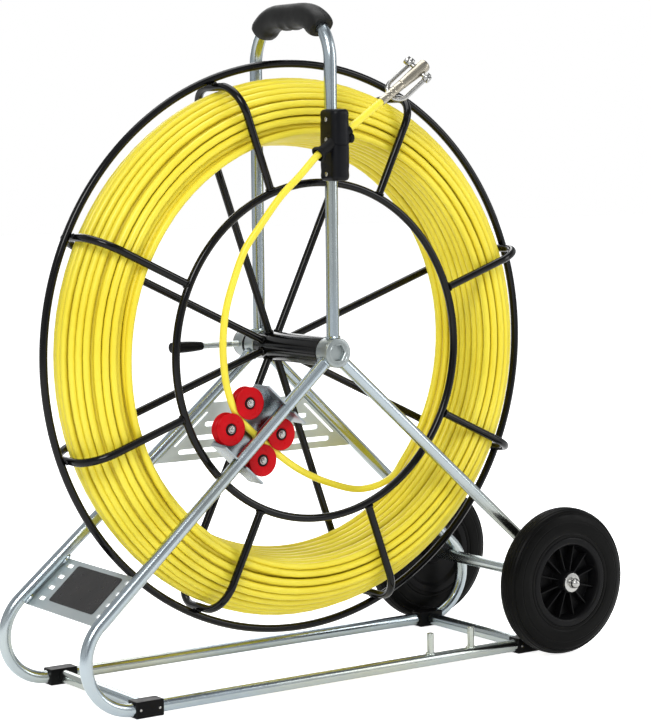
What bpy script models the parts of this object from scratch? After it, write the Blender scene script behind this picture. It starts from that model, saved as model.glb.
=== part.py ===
"""Conduit rod reel: a wound fibreglass rod in a steel cage that turns in a wheeled tube stand.

Metres, +Z up. The reel turns about an axis along Y. The stand's floor rails run along X, with the
wheels at the +X end. The origin is on the floor, under the middle of the whole object's box.
"""

import math

import bmesh
import bpy
from mathutils import Matrix, Vector

GAP = 0.0003                 # clearance left between two pieces that touch
TAU = 2 * math.pi

# Side frames: two bent tube loops, mirror images in the plane y = 0
TUBE_R = 0.008
TUBE_WALL = 0.0015
FLOOR_CLEAR = 0.0022         # the foot clamps hold the rails this far off the floor
RAIL_Z = TUBE_R + FLOOR_CLEAR
AXIS_Z = 0.4152              # reel axis over the floor
NEAR = -1
FAR = 1
LEFT = -1
RIGHT = 1
LOOP_REACH = {LEFT: 0.363, RIGHT: 0.354}    # from the axis to the outermost point of the tube's centreline
BEND_R = 0.060               # centreline radius of every tube bend
RAIL_Y = {NEAR: 0.098, FAR: 0.118}
CLAMP_X = {LEFT: 0.284, RIGHT: 0.2965}      # floor bars and clamps, from the reel axis
UPRIGHT_Y = 0.084            # tube centres where they meet the boss
BOSS_R = 0.0185
BOSS_IN = 0.0725
BOSS_OUT = 0.0930

# Wheels
WHEEL_R = 0.0970
WHEEL_LIFT = 0.0005          # the wheels roll only when the stand is tipped back
TYRE_IN = {NEAR: 0.1175, FAR: 0.1400}
TYRE_WIDTH = 0.0360
MIDDLE_Y = (TYRE_IN[FAR] - TYRE_IN[NEAR]) / 2    # the middle of the whole box, from the reel's own plane
RIM_R = 0.0590
WHEEL_BORE_R = 0.0063
AXLE_ROD_R = 0.0060

WHEEL_Z = WHEEL_R + WHEEL_LIFT
BEND_CENTRE_X = {side: reach - BEND_R for side, reach in LOOP_REACH.items()}
BEND_CENTRE_Z = RAIL_Z + BEND_R
AXLE_REACH = BEND_R - 2 * TUBE_R - 0.0008   # the axle tube nestles inside the bend
WHEEL_DX = BEND_CENTRE_X[RIGHT] + math.sqrt(AXLE_REACH ** 2 - (WHEEL_Z - BEND_CENTRE_Z) ** 2)

# The reel axis stands off the origin so that the object's box is centred on the origin
REEL_X = -(WHEEL_DX + WHEEL_R - LOOP_REACH[LEFT] - TUBE_R) / 2

# Cage
BAR_R = 0.0050
RING_R = 0.360
RIB_R = RING_R - 2 * BAR_R - GAP
RIB_BEND = 0.038
FAR_Y = 0.0520
NEAR_Y = -0.0565
INNER_RING_R = 0.211
RIB_COUNT = 8
RIB_PHASE = math.radians(19.5)
HUB_R = 0.0185
HUB_END = 0.0710
SHAFT_R = 0.0100
HUB_WALL = 0.0030

# Rod
ROD_R = 0.0045
# Outline of the wound rod: radius, place along the axle
COIL_OUTLINE = [(0.2760, -0.0508), (0.3040, -0.0508), (0.3150, -0.0460), (0.3225, -0.0385), (0.3310, -0.0290),
                (0.3380, -0.0190), (0.3430, -0.0060), (0.3430, 0.0070), (0.3375, 0.0200), (0.3270, 0.0330),
                (0.3120, 0.0430), (0.3000, 0.0462), (0.2620, 0.0462), (0.2570, 0.0410), (0.2710, -0.0450)]

# Free length of rod, relative to the reel axis: the bow from guide to rollers, then on to the coil
LEADER_BOW = [(-0.0545, 0.2210, -0.0970), (-0.0827, 0.1948, -0.0945), (-0.1103, 0.1605, -0.0915),
              (-0.1308, 0.1323, -0.0885), (-0.1451, 0.0965, -0.0855), (-0.1551, 0.0605, -0.0825),
              (-0.1582, 0.0241, -0.0795), (-0.1560, -0.0065, -0.0770), (-0.1493, -0.0370, -0.0740)]
LEADER_TAIL = [(-0.0380, -0.1450, -0.0580), (0.0341, -0.1739, -0.0250), (0.1010, -0.1912, 0.0030),
               (0.1500, -0.1895, 0.0200), (0.1740, -0.1810, 0.0265), (0.1920, -0.1630, 0.0300)]

# Handle
HANDLE_TOP = AXIS_Z + 0.4195
GRIP_START = math.radians(45)     # how far round each bend the grip begins

GRIP_BORE_R = TUBE_R + 0.0006

# Finger ridges under the straight of the grip: place along Y and height
GRIP_RIDGES = [(-0.0160, 0.0), (-0.0080, 0.0022), (0.0, 0.0), (0.0110, 0.0022), (0.0190, 0.0)]

# Guide block on the near upright, and what is on the rod's end, along the guide tube's axis
GUIDE_LOW = AXIS_Z + 0.213
GUIDE_HIGH = AXIS_Z + 0.301
GUIDE_ANGLE = math.radians(34)
GUIDE_Y = -0.1005
GUIDE_CROSS_Z = AXIS_Z + 0.2661
GUIDE_TUBE_R = 0.0069
GUIDE_BORE_R = 0.0052
GUIDE_ENTRY = -0.0376
GUIDE_EXIT = 0.0253
FERRULE_START = 0.0788
FERRULE_END = 0.1156
HEAD_END = 0.1620
PIN_AT = 0.1487
PIN_R = 0.0030
PIN_LEAN = math.radians(36)
SHACKLE_HALF = 0.01415
SHACKLE_ARM = 0.0358
SHACKLE_STOCK = 0.0030
SHACKLE_FOLD = math.radians(11.5)

# Roller unit on the near left diagonal
ROLLER_ANGLE = math.radians(47.5)
ROLLER_DX = -0.111
ROLLER_DZ = -0.0915
ROLLER_ALONG = 0.0205
ROLLER_ACROSS = 0.03075
ROLLER_FLANGE_R = 0.0202
GROOVE_R = 0.0056
ROLLER_HALF = 0.0072
ROLLER_Y = -0.0715
ROLLER_BOLT_R = 0.0030
PLATE_Y = -0.0610            # the bracket's back face
PLATE_T = 0.0025
BRACKET_REACH = 0.0482
BRACKET_HALF = 0.0360
BRACKET_SHIFT = 0.0040
BRACKET_FRONT = -0.0950
NOTCH_R = TUBE_R + 0.0007

# Brake at the far end of the shaft
BRAKE_RING_Y = (0.0933, 0.0980)
COLLAR_Y = (0.0983, 0.1180)
BRAKE_Y = (COLLAR_Y[0] + COLLAR_Y[1]) / 2
SPINDLE_R = 0.0040


# ---------------------------------------------------------------- helpers

def clear_scene():
    """Remove the objects that a new file opens with."""
    for item in list(bpy.data.objects):
        bpy.data.objects.remove(item, do_unlink=True)


MATERIALS = {}


def material(name, colour, roughness, metallic=0.0):
    """One Principled material, made once for each name."""
    if name not in MATERIALS:
        made = bpy.data.materials.new(name)
        made.use_nodes = True
        shader = made.node_tree.nodes["Principled BSDF"]
        shader.inputs["Base Color"].default_value = (*colour, 1.0)
        shader.inputs["Roughness"].default_value = roughness
        shader.inputs["Metallic"].default_value = metallic
        MATERIALS[name] = made
    return MATERIALS[name]


def zinc():
    return material("zinc_plated_steel", (0.62, 0.66, 0.68), 0.28, 1.0)


def bright_steel():
    return material("bright_steel", (0.74, 0.74, 0.72), 0.22, 1.0)


def black_coat():
    return material("black_powder_coat", (0.012, 0.012, 0.016), 0.3)


def black_rubber():
    return material("black_rubber", (0.02, 0.02, 0.02), 0.75)


def black_plastic():
    return material("black_plastic", (0.025, 0.025, 0.028), 0.45)


def yellow_rod():
    return material("yellow_rod", (0.86, 0.7, 0.04), 0.4)


def red_plastic():
    return material("red_plastic", (0.7, 0.01, 0.02), 0.4)


def finish(name, mesh_data, finish_material, parent=None, matrix=None):
    """Name the bmesh as an object, shade it and place it."""
    bmesh.ops.recalc_face_normals(mesh_data, faces=mesh_data.faces)
    mesh = bpy.data.meshes.new(name)
    mesh_data.to_mesh(mesh)
    mesh_data.free()
    mesh.shade_smooth()
    mesh.set_sharp_from_angle(angle=math.radians(35))
    mesh.materials.append(finish_material)
    made = bpy.data.objects.new(name, mesh)
    bpy.context.scene.collection.objects.link(made)
    if matrix is not None:
        made.matrix_world = matrix
    if parent is not None:
        made.parent = parent
        made.matrix_parent_inverse = parent.matrix_world.inverted()
    return made


def empty(name, place):
    """An empty on a joint's axis, which carries the pieces that move with it."""
    made = bpy.data.objects.new(name, None)
    made.location = place
    bpy.context.scene.collection.objects.link(made)
    bpy.context.view_layer.update()
    return made


def frame_at(place, direction):
    """A matrix that takes local +Z to direction, with its origin at place."""
    turn = Vector((0, 0, 1)).rotation_difference(Vector(direction).normalized())
    return Matrix.Translation(Vector(place)) @ turn.to_matrix().to_4x4()


def turned(name, profile, steps, finish_material, parent=None, matrix=None):
    """Spin a closed outline of (radius, height) about local Z. A radius of 0 lies on the axis."""
    mesh = bmesh.new()
    rings = []
    for radius, height in profile:
        if radius < 1e-7:
            rings.append([mesh.verts.new((0, 0, height))])
            continue
        angles = [TAU * i / steps for i in range(steps)]
        rings.append([mesh.verts.new((radius * math.cos(a), radius * math.sin(a), height)) for a in angles])
    for ring, follower in zip(rings, rings[1:] + rings[:1]):
        for i in range(steps):
            j = (i + 1) % steps
            corners = [ring[i % len(ring)], ring[j % len(ring)]]
            corners += [follower[j % len(follower)], follower[i % len(follower)]]
            corners = list(dict.fromkeys(corners))
            if len(corners) > 2:
                mesh.faces.new(corners)
    return finish(name, mesh, finish_material, parent, matrix)


def rod_profile(radius, low, high, chamfer=0.0):
    """The outline of a plain round bar from low to high, for turned()."""
    if chamfer:
        return [(0, low), (radius - chamfer, low), (radius, low + chamfer),
                (radius, high - chamfer), (radius - chamfer, high), (0, high)]
    return [(0, low), (radius, low), (radius, high), (0, high)]


def tube_profile(inner, outer, low, high):
    """The outline of a plain sleeve from low to high, for turned()."""
    return [(inner, low), (outer, low), (outer, high), (inner, high)]


def transport_frames(path, closed):
    """Right and up directions along a path, carried on without twist."""
    count = len(path)
    tangents = []
    for i, point in enumerate(path):
        before = path[i - 1] if (i or closed) else point
        after = path[(i + 1) % count] if (i < count - 1 or closed) else point
        tangents.append((after - before).normalized())
    start = Vector((0, 1, 0)) if abs(tangents[0].y) < 0.9 else Vector((1, 0, 0))
    right = tangents[0].cross(start).normalized()
    frames = []
    for i, tangent in enumerate(tangents):
        if i:
            right = tangents[i - 1].rotation_difference(tangent) @ right
        right = (right - tangent * right.dot(tangent)).normalized()
        frames.append((right, tangent.cross(right)))
    return frames


def swept(name, path, radius, sides, finish_material, closed=False, bore=0.0, parent=None):
    """A round bar along a path, or a tube when bore is its inner radius."""
    path = [Vector(point) for point in path]
    frames = transport_frames(path, closed)
    mesh = bmesh.new()

    def rings_of(size):
        rings = []
        for i, (point, (right, up)) in enumerate(zip(path, frames)):
            stretch = miter(path, i, closed)
            ring = []
            for k in range(sides):
                angle = TAU * k / sides
                offset = (right * math.cos(angle) + up * math.sin(angle)) * size
                ring.append(mesh.verts.new(point + stretch @ offset))
            rings.append(ring)
        return rings

    def skin(rings):
        last = len(rings) if closed else len(rings) - 1
        for i in range(last):
            bridge(mesh, rings[i], rings[(i + 1) % len(rings)])

    outer = rings_of(radius)
    skin(outer)
    if bore:
        inner = rings_of(bore)
        skin(inner)
        bridge(mesh, outer[0], inner[0])
        bridge(mesh, outer[-1], inner[-1])
    elif not closed:
        mesh.faces.new(outer[0])
        mesh.faces.new(outer[-1])
    return finish(name, mesh, finish_material, parent)


def bridge(mesh, ring, follower):
    """Quads between two rings of the same count."""
    for k in range(len(ring)):
        n = (k + 1) % len(ring)
        mesh.faces.new((ring[k], ring[n], follower[n], follower[k]))


def miter(path, i, closed):
    """Stretch a section across a corner, so the bar keeps its width there."""
    count = len(path)
    if not closed and i in (0, count - 1):
        return Matrix.Identity(3)
    inward = (path[i] - path[i - 1]).normalized()
    outward = (path[(i + 1) % count] - path[i]).normalized()
    bisector = inward - outward
    if bisector.length < 1e-6:
        return Matrix.Identity(3)
    bisector.normalize()
    half = inward.angle(outward) / 2
    factor = 1 / math.cos(half) - 1
    axis = bisector
    outer = Matrix([[axis[r] * axis[c] * factor for c in range(3)] for r in range(3)])
    return Matrix.Identity(3) + outer


def arc(centre, radius, start, end, steps, place):
    """Points on an arc. place turns a flat (across, up) point into a 3-D one."""
    points = []
    for i in range(steps + 1):
        angle = start + (end - start) * i / steps
        points.append(place(centre[0] + radius * math.cos(angle), centre[1] + radius * math.sin(angle)))
    return points


def plate(name, outline, holes, thickness, finish_material, matrix, parent=None):
    """A flat sheet in local XY with round or straight-sided holes, thickness centred on Z = 0."""
    mesh = bmesh.new()
    edges = []
    for loop in [outline] + holes:
        corners = [mesh.verts.new((x, y, -thickness / 2)) for x, y in loop]
        for i, corner in enumerate(corners):
            edges.append(mesh.edges.new((corner, corners[(i + 1) % len(corners)])))
    bmesh.ops.triangle_fill(mesh, use_beauty=True, edges=edges)
    grown = bmesh.ops.extrude_face_region(mesh, geom=list(mesh.faces))
    moved = [item for item in grown["geom"] if isinstance(item, bmesh.types.BMVert)]
    bmesh.ops.translate(mesh, verts=moved, vec=(0, 0, thickness))
    return finish(name, mesh, finish_material, parent, matrix)


def slot_points(x, y, length, height, corner_steps=3):
    """A round-ended slot's outline, centred on (x, y) and lying along local X."""
    radius = height / 2
    reach = length / 2 - radius
    points = []
    for side, start in ((1, -math.pi / 2), (-1, math.pi / 2)):
        for i in range(corner_steps + 1):
            angle = start + math.pi * i / corner_steps
            points.append((x + side * reach + radius * math.cos(angle), y + radius * math.sin(angle)))
    return points


def box_mesh(size, centre=(0, 0, 0)):
    """A plain block as a bmesh."""
    mesh = bmesh.new()
    bmesh.ops.create_cube(mesh, size=1)
    bmesh.ops.scale(mesh, vec=size, verts=mesh.verts)
    bmesh.ops.translate(mesh, vec=centre, verts=mesh.verts)
    return mesh


def cut(target, cutters):
    """Boolean the cutters out of target."""
    for tool in cutters:
        tool.hide_render = True
        tool.display_type = "WIRE"
        step = target.modifiers.new("cut_" + tool.name, "BOOLEAN")
        step.operation = "DIFFERENCE"
        step.solver = "EXACT"
        step.object = tool


def cylinder_cutter(name, start, end, radius, steps=20):
    """A round cutter from start to end."""
    start, end = Vector(start), Vector(end)
    length = (end - start).length
    return turned(name, rod_profile(radius, 0, length), steps, zinc(), None, frame_at(start, end - start))


def axle_frame(x, z):
    """Local +Z along world +Y, at height z over the floor and x along it."""
    return Matrix.Translation((x, 0, z)) @ Matrix.Rotation(-math.pi / 2, 4, "X")


# ---------------------------------------------------------------- frame

def loop_y(side, height):
    """The side loops lean out from the boss down to the floor rail."""
    share = (AXIS_Z - height) / (AXIS_Z - RAIL_Z)
    return side * (UPRIGHT_Y + (RAIL_Y[side] - UPRIGHT_Y) * share)


def diagonal_angle(end):
    """Slope of the diagonals at one end, which point at the reel axis and touch the bends."""
    dx, dz = BEND_CENTRE_X[end], AXIS_Z - BEND_CENTRE_Z
    return math.atan2(dz, dx) - math.asin(BEND_R / math.hypot(dx, dz))


def loop_path(side):
    """One loop's centreline: boss, left diagonal, bend, floor rail, bend, right diagonal, boss."""
    left_slope, right_slope = diagonal_angle(LEFT), diagonal_angle(RIGHT)

    def place(x, z):
        return Vector((REEL_X + x, loop_y(side, z), z))

    reach = BOSS_R + GAP
    head = [place(-reach * math.cos(left_slope), AXIS_Z - reach * math.sin(left_slope))]
    tail = [place(reach * math.cos(right_slope), AXIS_Z - reach * math.sin(right_slope))]
    left = arc((-BEND_CENTRE_X[LEFT], BEND_CENTRE_Z), BEND_R, math.pi / 2 + left_slope, 1.5 * math.pi, 7, place)
    right = arc((BEND_CENTRE_X[RIGHT], BEND_CENTRE_Z), BEND_R, -math.pi / 2, math.pi / 2 - right_slope, 7, place)
    return head + left + right + tail


def side_loop(name, side):
    swept(name, loop_path(side), TUBE_R, 10, zinc(), bore=TUBE_R - TUBE_WALL)


def handle():
    """The inverted U of the handle, from the near boss over the top to the far boss."""
    centre_y = UPRIGHT_Y - BEND_R
    centre_z = HANDLE_TOP - BEND_R
    foot = AXIS_Z + BOSS_R + GAP

    def place(y, z):
        return Vector((REEL_X, y, z))

    near = arc((-centre_y, centre_z), BEND_R, math.pi, math.pi / 2, 6, place)
    far = arc((centre_y, centre_z), BEND_R, math.pi / 2, 0, 6, place)
    path = [place(-UPRIGHT_Y, foot)] + near + far + [place(UPRIGHT_Y, foot)]
    swept("handle_tube", path, TUBE_R, 10, zinc(), bore=TUBE_R - TUBE_WALL)


def boss(name, side):
    """The sleeve that carries the shaft, welded to three tubes, with a counterbore at its outer end."""
    outline = [(SHAFT_R + GAP, BOSS_IN), (BOSS_R, BOSS_IN), (BOSS_R, BOSS_OUT),
               (0.0126, BOSS_OUT), (0.0126, BOSS_OUT - 0.0042), (SHAFT_R + GAP, BOSS_OUT - 0.0042)]
    outline = [(radius, side * height) for radius, height in outline]
    return turned(name, outline, 22, zinc(), None, axle_frame(REEL_X, AXIS_Z))


def bend_cutter(name, side):
    """The loop's own bar a little oversize, to bore the clamps with."""
    path = loop_path(side)
    return swept(name, path, TUBE_R + GAP, 10, zinc())


def foot_clamp(name, side, x, bores):
    """A block that wraps the rail where a floor bar meets it, and stands on the floor."""
    width, depth, height = 0.041, 0.0205, 0.0205
    mesh = box_mesh((width, depth, height), (REEL_X + x, side * (RAIL_Y[side] - 0.001), height / 2))
    upright = [e for e in mesh.edges if abs(e.verts[0].co.z - e.verts[1].co.z) > height / 2]
    bmesh.ops.bevel(mesh, geom=upright, offset=0.003, segments=2, affect="EDGES", profile=0.5)
    block = finish(name, mesh, black_plastic())
    cut(block, bores)


def floor_frame():
    """The two bars across the floor and the four clamps on the rails."""
    near_end = -RAIL_Y[NEAR] + TUBE_R + GAP
    far_end = RAIL_Y[FAR] - TUBE_R - GAP
    rails = {NEAR: bend_cutter("near_rail_bore", NEAR), FAR: bend_cutter("far_rail_bore", FAR)}
    for label, x in (("front", -CLAMP_X[LEFT]), ("rear", CLAMP_X[RIGHT])):
        ends = [(REEL_X + x, near_end, RAIL_Z), (REEL_X + x, far_end, RAIL_Z)]
        swept(label + "_floor_bar", ends, TUBE_R, 12, zinc(), bore=TUBE_R - TUBE_WALL)
        bar_bore = cylinder_cutter(label + "_bar_bore", (REEL_X + x, -RAIL_Y[NEAR], RAIL_Z),
                                   (REEL_X + x, RAIL_Y[FAR], RAIL_Z), TUBE_R + GAP)
        for side, side_name in ((NEAR, "near"), (FAR, "far")):
            foot_clamp(side_name + "_" + label + "_clamp", side, x, [rails[side], bar_bore])


def stowage_pins():
    """Two short pins on the near rail that hold the wound rod's tail."""
    for index, x in enumerate((0.1385, 0.2045)):
        low = RAIL_Z + TUBE_R + GAP
        place = Matrix.Translation((REEL_X + x, -RAIL_Y[NEAR], 0))
        outline = rod_profile(0.0045, low, 0.0450, 0.0006)
        turned("stowage_pin_%d" % (index + 1), outline, 14, zinc(), None, place)


def axle_end(side):
    """How far the axle rod reaches to one side, through wheel and washer."""
    return TYRE_IN[side] + TYRE_WIDTH + 0.0085


def axle_tube():
    """The tube between the side loops that the wheel axle runs in."""
    x = REEL_X + WHEEL_DX
    ends = [(x, -TYRE_IN[NEAR] + 0.001, WHEEL_Z), (x, TYRE_IN[FAR] - 0.001, WHEEL_Z)]
    swept("wheel_axle_tube", ends, TUBE_R, 16, zinc(), bore=AXLE_ROD_R + 0.0005)
    turned("wheel_axle_rod", rod_profile(AXLE_ROD_R, -axle_end(NEAR), axle_end(FAR), 0.0008), 16, bright_steel(), None,
           axle_frame(x, WHEEL_Z))


def label_plate():
    """A flat plate welded under the two left diagonals, with four slots down each side."""
    slope = diagonal_angle(LEFT)
    down = Vector((-math.cos(slope), 0, -math.sin(slope)))
    outward = Vector((-math.sin(slope), 0, math.cos(slope)))
    thickness = 0.002
    outline = []
    for side, distances in ((NEAR, (0.377, 0.4545)), (FAR, (0.4545, 0.377))):
        for distance in distances:
            height = AXIS_Z + down.z * distance
            outline.append((distance, -loop_y(side, height) - side * 0.003))
    holes = []
    for row in range(4):
        x = 0.3865 + 0.0178 * row
        for y in (0.0620, -0.0830):
            holes.append([(x + dx, y + dy) for dx, dy in ((-0.0025, -0.006), (0.0025, -0.006),
                                                          (0.0025, 0.006), (-0.0025, 0.006))])
    surface = Vector((REEL_X, 0, AXIS_Z)) - outward * (TUBE_R + GAP + thickness / 2)
    place = Matrix.Translation(surface) @ Matrix((down, (0, -1, 0), outward)).transposed().to_4x4()
    plate("label_plate", outline, holes, thickness, zinc(), place)


def gusset_reach(end, drop):
    """How far the gusset reaches to one end at a drop below the reel axis."""
    slope = diagonal_angle(end)
    return end * (drop / math.tan(slope) - (TUBE_R + 0.0006) / math.sin(slope))


def gusset_plate():
    """A slotted plate welded between the far diagonals."""
    top, bottom = 0.072, 0.146
    middle_y = loop_y(FAR, AXIS_Z - (top + bottom) / 2)
    lean = math.atan2(RAIL_Y[FAR] - UPRIGHT_Y, AXIS_Z - RAIL_Z)
    outline = [(gusset_reach(LEFT, top), top), (gusset_reach(RIGHT, top), top),
               (gusset_reach(RIGHT, bottom), bottom), (gusset_reach(LEFT, bottom), bottom)]
    centre = (top + bottom) / 2
    outline = [(x, centre - drop) for x, drop in outline]
    holes = []
    for drop in (0.100, 0.117, 0.134):
        left, right = gusset_reach(LEFT, drop), gusset_reach(RIGHT, drop)
        holes.append(slot_points((left + right) / 2, centre - drop, right - left - 0.040, 0.0065))
    for end in (RIGHT, LEFT):
        holes.append(side_slit(end, centre))
    place = Matrix.Translation((REEL_X, middle_y, AXIS_Z - centre))
    place = place @ Matrix.Rotation(lean, 4, "X") @ Matrix.Rotation(math.pi / 2, 4, "X")
    plate("gusset_plate", outline, holes, 0.0025, zinc(), place)


def side_slit(end, centre):
    """A long slit beside one diagonal."""
    corners = []
    for drop, inset in ((0.084, 0.0035), (0.126, 0.0035), (0.126, 0.0085), (0.084, 0.0085)):
        corners.append((gusset_reach(end, drop) - end * inset, centre - drop))
    return corners


# ---------------------------------------------------------------- handle grip

def grip_section(side, spot, outward, half_width, above, below):
    """One half of the grip's cross-section: a rounded outside and a round bore."""
    across = Vector((side, 0, 0))
    split = 0.00015
    outline = [(split, above), (half_width * 0.62, above - 0.0012), (half_width * 0.93, above - 0.0062),
               (half_width, 0.0), (half_width * 0.93, 0.0062 - below), (half_width * 0.62, 0.0012 - below),
               (split, -below)]
    for k in range(7):
        turn = -math.pi / 2 + math.pi * k / 6
        outline.append((max(split, GRIP_BORE_R * math.cos(turn)), GRIP_BORE_R * math.sin(turn)))
    return [spot + across * w + outward * h for w, h in outline]


def grip_half(name, side):
    """Half of the moulded grip, which follows the handle round part of each bend."""
    mesh = bmesh.new()
    sections = []
    for spot, outward, ridge in grip_stations():
        points = grip_section(side, spot, outward, 0.0160, 0.0150, 0.0162 + ridge)
        sections.append([mesh.verts.new(point) for point in points])
    for before, after in zip(sections, sections[1:]):
        bridge(mesh, before, after)
    for section in (sections[0], sections[-1]):
        mesh.faces.new(section)
    finish(name, mesh, black_plastic())


def grip_stations():
    """Centre, outward direction and finger-ridge height along the grip."""
    centre_y = UPRIGHT_Y - BEND_R
    centre_z = HANDLE_TOP - BEND_R
    stations = []
    steps = 3
    for k in range(steps + 1):
        turn = GRIP_START + (math.pi / 2 - GRIP_START) * k / steps
        outward = Vector((0, -math.cos(turn), math.sin(turn)))
        stations.append((Vector((REEL_X, -centre_y, centre_z)) + outward * BEND_R, outward, 0.0))
    for y, ridge in GRIP_RIDGES:
        stations.append((Vector((REEL_X, y, HANDLE_TOP)), Vector((0, 0, 1)), ridge))
    for k in range(steps + 1):
        turn = math.pi / 2 - (math.pi / 2 - GRIP_START) * k / steps
        outward = Vector((0, math.cos(turn), math.sin(turn)))
        stations.append((Vector((REEL_X, centre_y, centre_z)) + outward * BEND_R, outward, 0.0))
    return stations


# ---------------------------------------------------------------- guide block and pulling head

def guide_direction():
    return Vector((math.cos(GUIDE_ANGLE), 0, math.sin(GUIDE_ANGLE)))


def guide_point(distance):
    """A point on the guide tube's axis, measured from where it crosses the upright."""
    return Vector((REEL_X, GUIDE_Y, GUIDE_CROSS_Z)) + guide_direction() * distance


def guide_block():
    """A moulded block clamped round the near upright, bored for the guide tube."""
    half_x, y_front, y_back = 0.0130, -0.1110, -0.0735
    corner = 0.0095
    outline = []
    for sx, sy, start in ((1, 1, 0), (-1, 1, 90), (-1, -1, 180), (1, -1, 270)):
        cx = sx * (half_x - corner)
        cy = (y_back - corner) if sy > 0 else (y_front + corner)
        for k in range(4):
            turn = math.radians(start + 30 * k)
            outline.append((cx + corner * math.cos(turn), cy + corner * math.sin(turn)))
    middle = (y_front + y_back) / 2
    mesh = bmesh.new()
    layers = []
    for height, shrink in ((GUIDE_LOW, 0.80), (GUIDE_LOW + 0.004, 1.0), (GUIDE_HIGH - 0.004, 1.0), (GUIDE_HIGH, 0.80)):
        ring = [(REEL_X + x * shrink, middle + (y - middle) * shrink, height) for x, y in outline]
        layers.append([mesh.verts.new(point) for point in ring])
    for low, high in zip(layers, layers[1:]):
        bridge(mesh, low, high)
    mesh.faces.new(layers[0])
    mesh.faces.new(layers[-1])
    block = finish("guide_block", mesh, black_plastic())
    upright = cylinder_cutter("guide_upright_bore", (REEL_X, -UPRIGHT_Y, GUIDE_LOW - 0.01),
                              (REEL_X, -UPRIGHT_Y, GUIDE_HIGH + 0.01), TUBE_R + 2 * GAP)
    across = cylinder_cutter("guide_tube_bore", guide_point(-0.06), guide_point(0.06), GUIDE_TUBE_R + GAP)
    cut(block, [upright, across])


def guide_tube():
    """The sleeve through the block that the rod slides in, flared at both ends."""
    bore, outer, flare = GUIDE_BORE_R, GUIDE_TUBE_R, GUIDE_TUBE_R + 0.0032
    low, high = GUIDE_ENTRY, GUIDE_EXIT
    outline = [(bore + 0.0028, low), (flare, low), (flare, low + 0.003), (outer, low + 0.008), (outer, high - 0.003),
               (outer + 0.001, high - 0.002), (outer + 0.001, high), (bore + 0.001, high), (bore, high - 0.002),
               (bore, low + 0.008)]
    turned("guide_tube", outline, 16, black_rubber(), None, frame_at(guide_point(0), guide_direction()))


def pulling_head():
    """The steel head crimped on the rod's end by a ferrule, with a hole across it for the shackle pin."""
    place = frame_at(guide_point(0), guide_direction())
    ferrule = [(0, FERRULE_END - 0.002), (ROD_R + GAP, FERRULE_END - 0.002), (ROD_R + GAP, FERRULE_START),
               (0.0062, FERRULE_START), (0.0064, FERRULE_START + 0.001), (0.0064, FERRULE_END), (0, FERRULE_END)]
    turned("rod_ferrule", ferrule, 14, bright_steel(), None, place)
    start = FERRULE_END + GAP
    outline = [(0, start), (0.0069, start), (0.0075, start + 0.002), (0.0076, start + 0.016), (0.0066, HEAD_END - 0.006),
               (0.0060, HEAD_END - 0.001), (0.0050, HEAD_END), (0, HEAD_END)]
    head = turned("pulling_head", outline, 14, bright_steel(), None, place)
    pivot = guide_point(PIN_AT)
    reach = pin_direction() * 0.02
    cut(head, [cylinder_cutter("pin_bore", pivot - reach, pivot + reach, PIN_R + GAP)])


def pin_direction():
    """The shackle pin leans out of the plane of the guide."""
    down_across = Vector((math.sin(GUIDE_ANGLE), 0, -math.cos(GUIDE_ANGLE)))
    return down_across * math.cos(PIN_LEAN) + Vector((0, -1, 0)) * math.sin(PIN_LEAN)


def shackle():
    """A U shackle folded back along the rod, and the pin it swings on."""
    pivot = guide_point(PIN_AT)
    pin = pin_direction()
    along = guide_direction()
    behind = along.cross(pin)
    back = (-along * math.cos(SHACKLE_FOLD) + behind * math.sin(SHACKLE_FOLD)).normalized()
    holder = empty("shackle_pivot", pivot)
    half = SHACKLE_HALF
    path = [pivot - pin * half + back * 0.002]
    for k in range(9):
        turn = math.pi * k / 8
        path.append(pivot + back * SHACKLE_ARM + (-pin * math.cos(turn) + back * math.sin(turn)) * half)
    path.append(pivot + pin * half + back * 0.002)
    body = swept("shackle", path, SHACKLE_STOCK, 8, bright_steel(), parent=holder)
    eyes = []
    for index, side in enumerate((-1, 1)):
        place = frame_at(pivot + pin * side * half, pin)
        eye = turned("shackle_eye_%d" % index, rod_profile(0.0066, -0.0030, 0.0030), 14, bright_steel(), None, place)
        eyes.append(eye)
    for eye in eyes:
        eye.hide_render = True
        eye.display_type = "WIRE"
        step = body.modifiers.new(eye.name, "BOOLEAN")
        step.operation = "UNION"
        step.solver = "EXACT"
        step.object = eye
    cut(body, [cylinder_cutter("eye_bore", pivot - pin * 0.03, pivot + pin * 0.03, PIN_R + GAP)])
    reach = half + 0.0033
    outline = [(0, -reach - 0.0042), (0.0050, -reach - 0.0042), (0.0056, -reach - 0.0034), (0.0056, -reach),
               (PIN_R, -reach), (PIN_R, reach), (0.0048, reach), (0.0048, reach + 0.0016), (0, reach + 0.0016)]
    turned("shackle_pin", outline, 14, bright_steel(), holder, frame_at(pivot, pin))


# ---------------------------------------------------------------- roller unit

def roller_place(along, across, y=0.0):
    """A point of the roller unit. along runs down the diagonal and across runs with the rod."""
    x = ROLLER_DX - along * math.cos(ROLLER_ANGLE) + across * math.sin(ROLLER_ANGLE)
    z = ROLLER_DZ - along * math.sin(ROLLER_ANGLE) - across * math.cos(ROLLER_ANGLE)
    return Vector((REEL_X + x, y, AXIS_Z + z))


def roller_unit():
    """A channel bracket behind the diagonal with two pairs of grooved rollers."""
    spots = [(a, c) for c in (-ROLLER_ACROSS, ROLLER_ACROSS) for a in (-ROLLER_ALONG, ROLLER_ALONG)]
    bracket(spots)
    for index, (along, across) in enumerate(spots):
        roller(index + 1, roller_place(along, across))


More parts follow.
